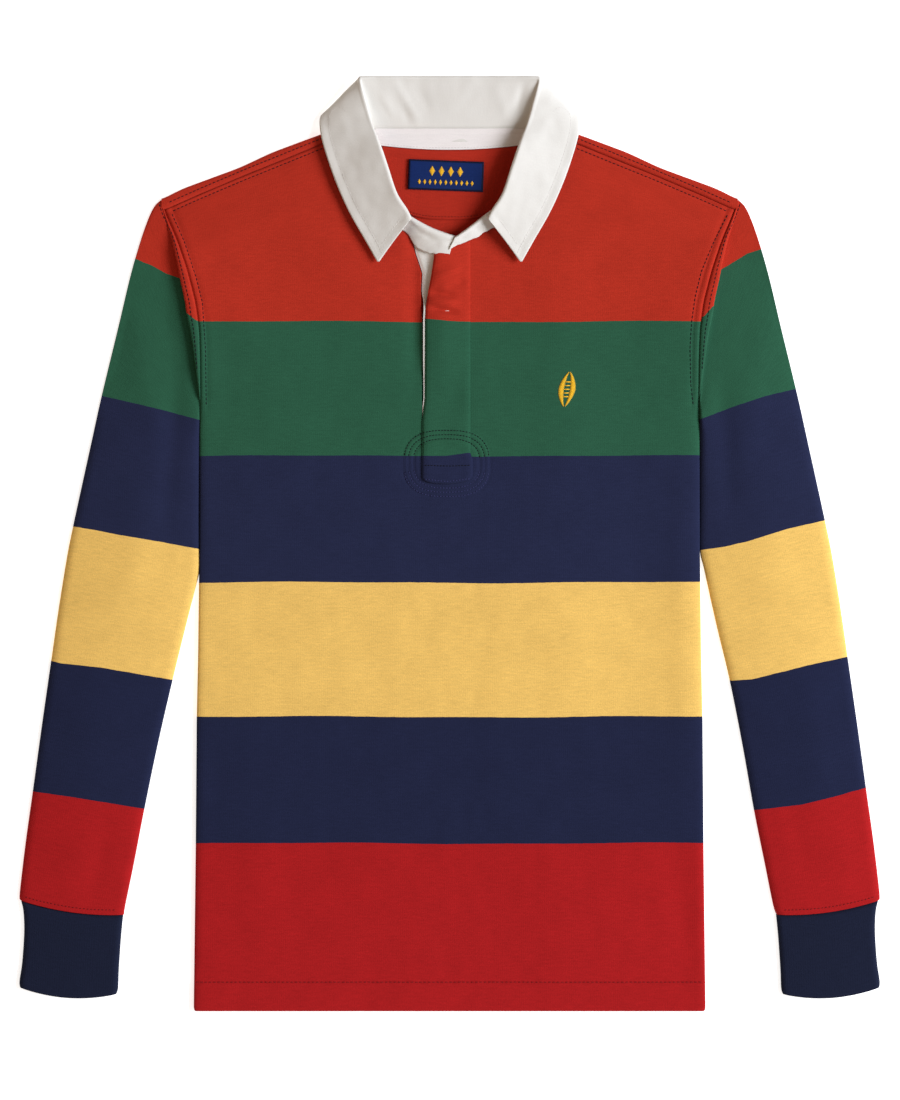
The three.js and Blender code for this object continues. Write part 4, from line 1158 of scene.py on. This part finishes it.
def label_place(u, v):
    """A place on the label, u and v in mm from its middle."""
    turn = math.radians(LABEL["turn"])
    x = LABEL["x"] + u * math.cos(turn) - v * math.sin(turn)
    y = LABEL["y"] + u * math.sin(turn) + v * math.cos(turn)
    return x, y


def label_height(x, y):
    return back_top(x, y) + 2 * LAYER_GAP + JERSEY_WALL + LABEL_WALL + 0.25


def neck_label():
    def place(share, across):
        u, v = LABEL["width"] * (across - 0.5), LABEL["height"] * (0.5 - share)
        x, y = label_place(u, v)
        near = min(LABEL["width"] / 2 - abs(u), LABEL["height"] / 2 - abs(v))
        return Vector((x, y, label_height(x, y) + 0.3 * smooth(0, 2.4, near)))

    piece = cloth_piece("neck_label_damask", grid_rows(20, 50, place), LABEL_WALL)
    dress(piece, label_damask(), "woven_label", "neck_label")
    return piece


def label_damask():
    """Damask label, woven of fine polyester: smooth, slightly glossy, with a darker woven border."""
    material, tree = new_material("blue_woven_damask")
    cut = add_node(tree, "UVMap", uv_map="cut")
    split = add_node(tree, "SeparateXYZ", [("Vector", cut)])
    half_width, half_height = LABEL["width"] / 2 * MM, LABEL["height"] / 2 * MM
    across = add_node(tree, "Math", [(0, split.outputs["X"])], operation="ABSOLUTE")
    from_side = add_node(tree, "Math", [(1, across)], operation="SUBTRACT", in_0=half_width)
    down = add_node(tree, "Math", [(0, split.outputs["Y"])], operation="ADD", in_1=half_height)
    apart = add_node(tree, "Math", [(0, down)], operation="ABSOLUTE")
    from_end = add_node(tree, "Math", [(1, apart)], operation="SUBTRACT", in_0=half_height)
    near = add_node(tree, "Math", [(0, from_side), (1, from_end)], operation="MINIMUM")
    border = add_node(tree, "MapRange", [("Value", near)], in_From_Min=1.2 * MM, in_From_Max=1.8 * MM)
    base = add_node(
        tree, "Mix", [("Factor", border)], data_type="RGBA", in_6=colour("#151B33"), in_7=colour("#162B60")
    )
    worn = washed_colour(tree, base.outputs[2], cut, 0.1, 0.03)
    cloth_finish(tree, worn, cut, 0.8, 0.8, 0.08, 0.55, 0.0)
    return material


TAPE_TWILL = plain_cloth("white_twill_tape", "#F0EBE8", fleck=0.03, wale=1.0, course=1.4, depth=0.07)
RED = plain_cloth("red_cotton_jersey", RED_JERSEY, fleck=0.1, blotch=0.05)
tape = neck_tape()
patch = back_neck_patch()
label = neck_label()

# Placket
# A strip of the striped jersey lies over the front opening and hides its buttons. It is sewn down at its
# boxed lower end, and a strip of white twill shows along its left edge, under it.
FLAP_LEFT = (
    (239.5, -12.7), (234.1, -12.7), (218.2, -15.1), (206, -17.4), (193.7, -19.2), (183.1, -19.8),
    (166, -19.8), (118, -20.2), (100, -22.3), (73, -22.5), (70, -22.8), (54, -22.8),
    (51.4, -21.6), (50, -19),
)
FLAP_RIGHT = (
    (247, 17), (73, 17), (69, 19), (55.5, 19), (52.8, 17.5), (50.6, 14),
)
# How far the flap's lower end bows, and how far its edges turn down
FLAP_SAG = 1.8
EDGE_DROP = 0.8
UNDERLAP = {"top": 249.0, "bottom": 71.0, "right": 13.1}
# The underlap's turned edge stands beside the flap's, almost as high, in a narrow white line
LIP_RISE = 0.25
# Creases of the flap, as on the body
FLAP_CREASES = (
    (-18, 206, 6, 201, 2.4, -2.1), (-17, 192, 8, 188, 2.1, -2.3),
    (-20, 198, 8, 196, 2.8, 1.4), (-14, 216, 10, 226, 4, 1.2),
    (-4, 208, 14, 214, 3.4, -1.1), (-19, 160, 15, 158, 6, 0.3),
    (-20, 118, 15, 120, 6, -0.25),
)


def flap_height(x, y, from_left, from_right):
    """The flap's upper face: a rounded free edge on the left and a pressed edge on the right."""
    left_edge = EDGE_DROP * (1 - smooth(0, 1.6, from_left))
    right_edge = EDGE_DROP * smooth(-20, 17, x) + 0.4 * (1 - smooth(0, 1.6, from_right))
    plump = 0.5 * smooth(0, 5, from_left) * smooth(0, 5, from_right) + fold_height(FLAP_CREASES, x, y)
    return front_level(x, y) + LAYER_GAP + TWILL_WALL + plump - left_edge - right_edge


def flap_course(point, row_number):
    upper = 2.2 * (1 - smooth(-22, 10, point.x)) * smooth(150, 180, point.y)
    return point.y - upper - 2.4 * smooth(-5, 17, point.x) * (1 - smooth(80, 110, point.y))


def placket_flap():
    def place(down, along):
        share = 1 - down
        left_y = mix(FLAP_LEFT[-1][0], FLAP_LEFT[0][0], share)
        right_y = mix(FLAP_RIGHT[-1][0], FLAP_RIGHT[0][0], share)
        left_x = read_table(FLAP_LEFT, left_y)
        right_x = read_table(FLAP_RIGHT, right_y)
        across = 0.5 - 0.5 * math.cos(math.pi * along)
        sag = FLAP_SAG * math.sin(math.pi * across) * (1 - smooth(0, 0.04, share))
        x = mix(left_x, right_x, across)
        y = mix(left_y, right_y, across) - sag
        turned = EDGE_DROP * (1 - smooth(0, 0.012, share))
        return Vector((x, y, flap_height(x, y, x - left_x, right_x - x) - turned))

    piece = cloth_piece("placket_flap_jersey", grid_rows(130, 32, place), TWILL_WALL, flap_course)
    dress(piece, JERSEY, "striped_jersey", "placket_flap")
    return piece


def placket_underlap():
    slit = sorted((y, x) for x, y in SLIT[:-2])

    def place(down, along):
        y = mix(UNDERLAP["top"], UNDERLAP["bottom"], down)
        flap_left = read_table(FLAP_LEFT, y)
        lip = smooth(99, 114, y) * (1 - smooth(190, 206, y))
        lip_width = mix(1.1, 1.8, smooth(118, 165, y))
        left = mix(read_table(slit, y) + 0.7, flap_left - lip_width, lip)
        x = mix(left, UNDERLAP["right"], along ** 1.8)
        roll = 0.6 * (1 - smooth(0, 3, x - left))
        low = front_top(x, y) - JERSEY_WALL + TWILL_WALL * 0.6 - roll
        low += 0.25 * math.sin(y / 9) * smooth(150, 220, y)
        z = mix(low, front_level(x, y) + LIP_RISE, lip * (1 - smooth(-0.2, 0.6, x - flap_left)))
        return Vector((x, y, z))

    piece = cloth_piece("placket_underlap_twill", grid_rows(90, 24, place), TWILL_WALL)
    dress(piece, TWILL, "white_twill", "placket_underlap")
    return piece


flap = placket_flap()
underlap = placket_underlap()

# Sewing
# Lock stitches of dark thread hold the shoulders, armholes and the oval round the placket's end. Other
# rows have thread of their cloth's colour. Real thread is 0.3 mm thick, too fine to show here, so it is
# drawn up to three times as thick. Each stitch is laid on the finished cloth under it.
THREAD_RADIUS = 0.42
# Pitch and length of the stitches of each kind of row
STITCHES = {
    "seam": (3.5, 2.8), "oval": (2.5, 2.0), "sleeve": (3.0, 2.2), "collar": (2.6, 2.2), "neck": (2.6, 2.0),
    "label": (2.2, 1.6),
}
# Thread on the underside is pressed into the cloth by this much, so that the shirt lies flat
PRESSED_IN = 0.3
BODY_CLOTHS = [back, front, *sleeves.values(), *cuffs.values(), flap, underlap]
ARMHOLE_ROWS = {
    "left": (
        (-226.3, 268.9), (-216.2, 246.5), (-206.3, 216.6), (-201.3, 196.7), (-198.8, 159.5), (-198.2, 112)
    ),
    "right": (
        (226.5, 268), (213.8, 242.8), (205.1, 221.6), (200.1, 201.6), (197.3, 182), (195.8, 160),
        (196.4, 130), (198.6, 112)
    ),
}
MOTIF = {"x": 95.5, "y": 125.8, "width": 14.5, "height": 29.0, "lean": -0.16, "pitch": 0.85, "lace": 2.4}
LACES = (-6.0, -3.0, 0.0, 3.0, 6.0)
# Woven figures of the label, by row: height of the row, pitch, number, width and height of each
FIGURES = ((3.4, 7.6, 4, 5.6, 8.4), (-5.6, 4.3, 11, 2.9, 4.6))


def joined_cloth(pieces):
    """A search tree of the faces of several finished pieces."""
    bpy.context.view_layer.update()
    scene_now = bpy.context.evaluated_depsgraph_get()
    corners = []
    faces = []
    for piece in pieces:
        finished = piece.evaluated_get(scene_now)
        mesh = finished.to_mesh()
        start = len(corners)
        corners += [vert.co.copy() for vert in mesh.vertices]
        faces += [[start + corner for corner in polygon.vertices] for polygon in mesh.polygons]
        finished.to_mesh_clear()
    return BVHTree.FromPolygons(corners, faces)


BODY_FACES = joined_cloth(BODY_CLOTHS)
COLLAR_FACES = joined_cloth([collar_piece])
TAPE_FACES = joined_cloth([tape])
PATCH_FACES = joined_cloth([patch])
LABEL_FACES = joined_cloth([label])


def on_cloth(faces, x, y, below=False):
    """The outer face of some pieces above a place in mm, or below it."""
    height, way = (-0.05, 1) if below else (0.1, -1)
    return faces.ray_cast(Vector((x * MM, y * MM, height)), Vector((0, 0, way)))[0]


def along_row(points, faces, kind="seam", below=False):
    """Stitches along a line of places: the two ends of each, on the cloth, or pressed in under it."""
    pitch, length = STITCHES[kind]
    stitches = []
    pressed = Vector((0, 0, PRESSED_IN * MM if below else 0.0))
    next_start = 0.0
    line = [Vector(point) for point in points]
    total = sum((b - a).length for a, b in zip(line, line[1:]))

    def place_at(distance):
        left = distance
        for a, b in zip(line, line[1:]):
            step = (b - a).length
            if left <= step:
                return a.lerp(b, left / step)
            left -= step
        return line[-1]

    while next_start + length < total:
        ends = [place_at(next_start), place_at(next_start + length)]
        hits = [on_cloth(faces, end.x, end.y, below) for end in ends]
        if None not in hits:
            stitches.append([hit + pressed for hit in hits])
        next_start += pitch
    return stitches


def thread_piece(name, stitches, material, radius):
    """One mesh of many stitches, each a short rounded length of thread."""
    pattern = bmesh.new()
    bmesh.ops.create_uvsphere(pattern, u_segments=6, v_segments=4, radius=1.0)
    form = [vert.co.copy() for vert in pattern.verts]
    order = [[vert.index for vert in face.verts] for face in pattern.faces]
    pattern.free()
    corners = []
    faces = []
    for start, end in stitches:
        along = end - start
        turn = along.to_track_quat("Z", "Y").to_matrix()
        middle = (start + end) / 2
        base = len(corners)
        for point in form:
            sized = Vector((point.x * radius * MM, point.y * radius * MM, point.z * along.length / 2))
            corners.append(middle + turn @ sized)
        faces += [[base + corner for corner in face] for face in order]
    mesh = bpy.data.meshes.new(name)
    mesh.from_pydata(corners, [], faces)
    shape = bmesh.new()
    shape.from_mesh(mesh)
    bpy.data.meshes.remove(mesh)
    bmesh.ops.recalc_face_normals(shape, faces=shape.faces)
    piece = finish_piece(name, shape)
    dress(piece, material)
    return piece


def sewing_thread(name, code):
    """Spun polyester thread: a slightly glossy twist, shaded along its ply."""
    material, tree = new_material(name)
    place = add_node(tree, "TexCoord")
    ply = add_node(
        tree, "TexNoise", [("Vector", place.outputs["Object"])], in_Scale=1 / (0.5 * MM), in_Detail=2.0
    )
    shade = add_node(
        tree, "MapRange", [("Value", ply)], in_From_Min=0.3, in_From_Max=0.7, in_To_Min=0.8, in_To_Max=1.15
    )
    dye = add_node(tree, "RGB")
    dye.outputs[0].default_value = colour(code)
    tone = add_node(tree, "VectorMath", [(0, dye), ("Scale", shade)], operation="SCALE")
    thread = add_node(
        tree, "BsdfPrincipled", [("Base Color", tone)], in_Roughness=0.6, in_Specular_IOR_Level=0.12
    )
    add_node(tree, "OutputMaterial", [("Surface", thread)])
    return material


def oval_row(half_width, half_height, first, last):
    """Part of one oval of stitches round the placket's end, between two turns in degrees."""
    ring = []
    power = 2 / OVAL["power"]
    for step in range(61):
        turn = math.radians(mix(first, last, step / 60))
        u, v = math.cos(turn), math.sin(turn)
        x = OVAL["x"] + half_width * math.copysign(abs(u) ** power, u)
        ring.append((x, OVAL["y"] + half_height * math.copysign(abs(v) ** power, v)))
    return along_row(ring, BODY_FACES, "oval")


def dark_rows():
    """Rows of dark thread at the shoulders and armholes, and over the placket's end."""
    stitches = []
    for sign in (-1, 1):
        for lift, near, far in ((4.9, 100, 230), (-3.5, 97, 227)):
            line = [(sign * x, read_table(SHOULDER_SEAM, x) + lift) for x in range(near, far, 3)]
            stitches += along_row(line, BODY_FACES)
    for side, row in ARMHOLE_ROWS.items():
        sign = -1 if side == "left" else 1
        stitches += along_row(row, BODY_FACES)
        strip = []
        for y in range(277, 140, -3):
            out = max(0.55 * read_table(STRIP, y), 2.4 * smooth(236, 262, y))
            strip.append((sign * (smooth_table(ARMHOLE, y) + out), y))
        stitches += along_row(strip, BODY_FACES)
    for half_width, half_height in OVAL["rings"]:
        stitches += oval_row(half_width, half_height, 8, 172)
    stitches += along_row([(-20.5, 63.8), (0, 63.2), (17, 63.8)], BODY_FACES, "oval")
    return stitches


def navy_rows():
    """The lower halves of the ovals, and the row that closes the placket's end."""
    stitches = []
    for half_width, half_height in OVAL["rings"]:
        stitches += oval_row(half_width, half_height, 190, 350)
    return stitches + along_row([(-20.5, 52.6), (-2, 50.6), (16.5, 53.0)], BODY_FACES, "oval")


def hem_rows():
    line_y = HEM_Y + HEM_DEPTH
    stitches = []
    for below in (False, True):
        stitches += along_row([(-207.0, line_y), (207.0, line_y)], BODY_FACES, below=below)
    for sign in (-1, 1):
        curve = []
        for step in range(2, 39):
            share = step / 40
            bow = SLEEVE_END_BOW * math.sin(math.pi * share) ** 0.8
            curve.append((sign * mix(350.0, 265.4, share), mix(-290.4, -302.2, share) - bow + 4.2))
        for below in (False, True):
            stitches += along_row(curve, BODY_FACES, "sleeve", below)
    return stitches


def white_rows():
    """Topstitching inside the fall's turned edge, and the rows that hold the neck tape."""
    edge = [Vector(row[3]) for row in COLLAR_SECTIONS]
    fold = [Vector(row[1]) for row in COLLAR_SECTIONS]
    stitches = []
    for sign in (-1, 1):
        line = []
        for step in range(3, 120):
            share = step / 200
            low = curve_point(edge, share)
            inward = curve_point(fold, share) - low
            inward.z = 0.0
            spot = low + inward.normalized() * TOPSTITCH
            line.append((sign * spot.x, spot.y))
        stitches += along_row(line, COLLAR_FACES, "collar")
        corner = edge[0].lerp(fold[0], 0.82)
        out = (edge[1] - edge[0]).normalized() * TOPSTITCH
        ends = (corner + out, edge[0].lerp(fold[0], 0.22) + out)
        stitches += along_row([(sign * end.x, end.y) for end in ends], COLLAR_FACES, "collar")
    tape_line = [(x, tape_bottom(x) + 1.6) for x in range(-56, 57, 4)]
    stitches += along_row(tape_line, TAPE_FACES, "neck")
    return stitches


def red_rows():
    line = []
    for step in range(2, 59):
        x, top, depth = half_moon(step / 60, 2.0)
        line.append((x, top - depth))
    return along_row(line, PATCH_FACES, "neck")


def label_rows():
    u, v = LABEL["width"] / 2 - 0.9, LABEL["height"] / 2 - 0.9
    corners = [(-u, -v), (u, -v), (u, v), (-u, v), (-u, -v)]
    return along_row([label_place(*corner) for corner in corners], LABEL_FACES, "label")


def satin(outline, low, high, pitch, place, faces):
    """Close rows of thread across a shape: outline gives its two sides at a height."""
    stitches = []
    count = round((high - low) / pitch)
    for step in range(count + 1):
        height = mix(low, high, step / count)
        start, end = outline(height)
        if end - start > 0.5:
            hits = [on_cloth(faces, *place(side, height)) for side in (start, end)]
            if None not in hits:
                stitches.append([hit + Vector((0, 0, 0.15 * MM)) for hit in hits])
    return stitches


def chest_motif():
    """A plain upright oval ball in satin stitch: two halves with a laced seam between them."""
    tall = MOTIF["height"] / 2

    def place(u, v):
        return MOTIF["x"] + u - MOTIF["lean"] * v, MOTIF["y"] + v

    def half_at(height):
        return MOTIF["width"] / 2 * max(1 - abs(height / tall) ** 1.7, 0.0) ** 0.8

    def left_panel(height):
        return -half_at(height), -0.3 * half_at(height)

    def right_panel(height):
        return 0.3 * half_at(height), half_at(height)

    def lace(height):
        return -MOTIF["lace"], MOTIF["lace"]

    stitches = []
    for panel in (left_panel, right_panel):
        stitches += satin(panel, -tall, tall, MOTIF["pitch"], place, BODY_FACES)
    for height in LACES:
        stitches += satin(lace, height - 0.1, height + 0.1, 0.2, place, BODY_FACES)
    return stitches


def label_figures():
    """The label's woven figures: a row of lozenges over a row of smaller ones."""
    stitches = []
    for row, pitch, count, width, height in FIGURES:
        for number in range(count):
            centre = (number - (count - 1) / 2) * pitch

            def lozenge(v):
                half = width / 2 * max(1 - abs(v - row) / (height / 2), 0.0)
                return centre - half, centre + half

            stitches += satin(lozenge, row - height / 2, row + height / 2, 0.6, label_place, LABEL_FACES)
    return stitches


# Each piece of sewing: its name, its stitches, its thread and colour, and the thread's radius
SEWING = (
    ("dark_stitching", dark_rows(), "dark_polyester_thread", "#15151C", THREAD_RADIUS),
    ("navy_stitching", navy_rows(), "navy_polyester_thread", "#34365E", THREAD_RADIUS),
    ("hem_stitching", hem_rows(), "crimson_polyester_thread", "#74181B", THREAD_RADIUS),
    ("collar_stitching", white_rows(), "white_polyester_thread", "#DEDAD5", 0.2),
    ("patch_stitching", red_rows(), "red_polyester_thread", "#7E2015", 0.36),
    ("label_stitching", label_rows(), "black_polyester_thread", "#141A30", 0.28),
)
for piece_name, stitches, thread_name, code, radius in SEWING:
    thread_piece(piece_name, stitches, sewing_thread(thread_name, code), radius)
GOLD_THREAD = sewing_thread("gold_rayon_thread", "#FAC632")
thread_piece("chest_motif_satin", chest_motif(), GOLD_THREAD, 0.5)
thread_piece("label_figures_woven", label_figures(), GOLD_THREAD, 0.36)

VISUAL_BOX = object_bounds()
bounds = {"cad": CAD_BOX, "visual": VISUAL_BOX}
{name: [list(corner) for corner in box] for name, box in bounds.items()}
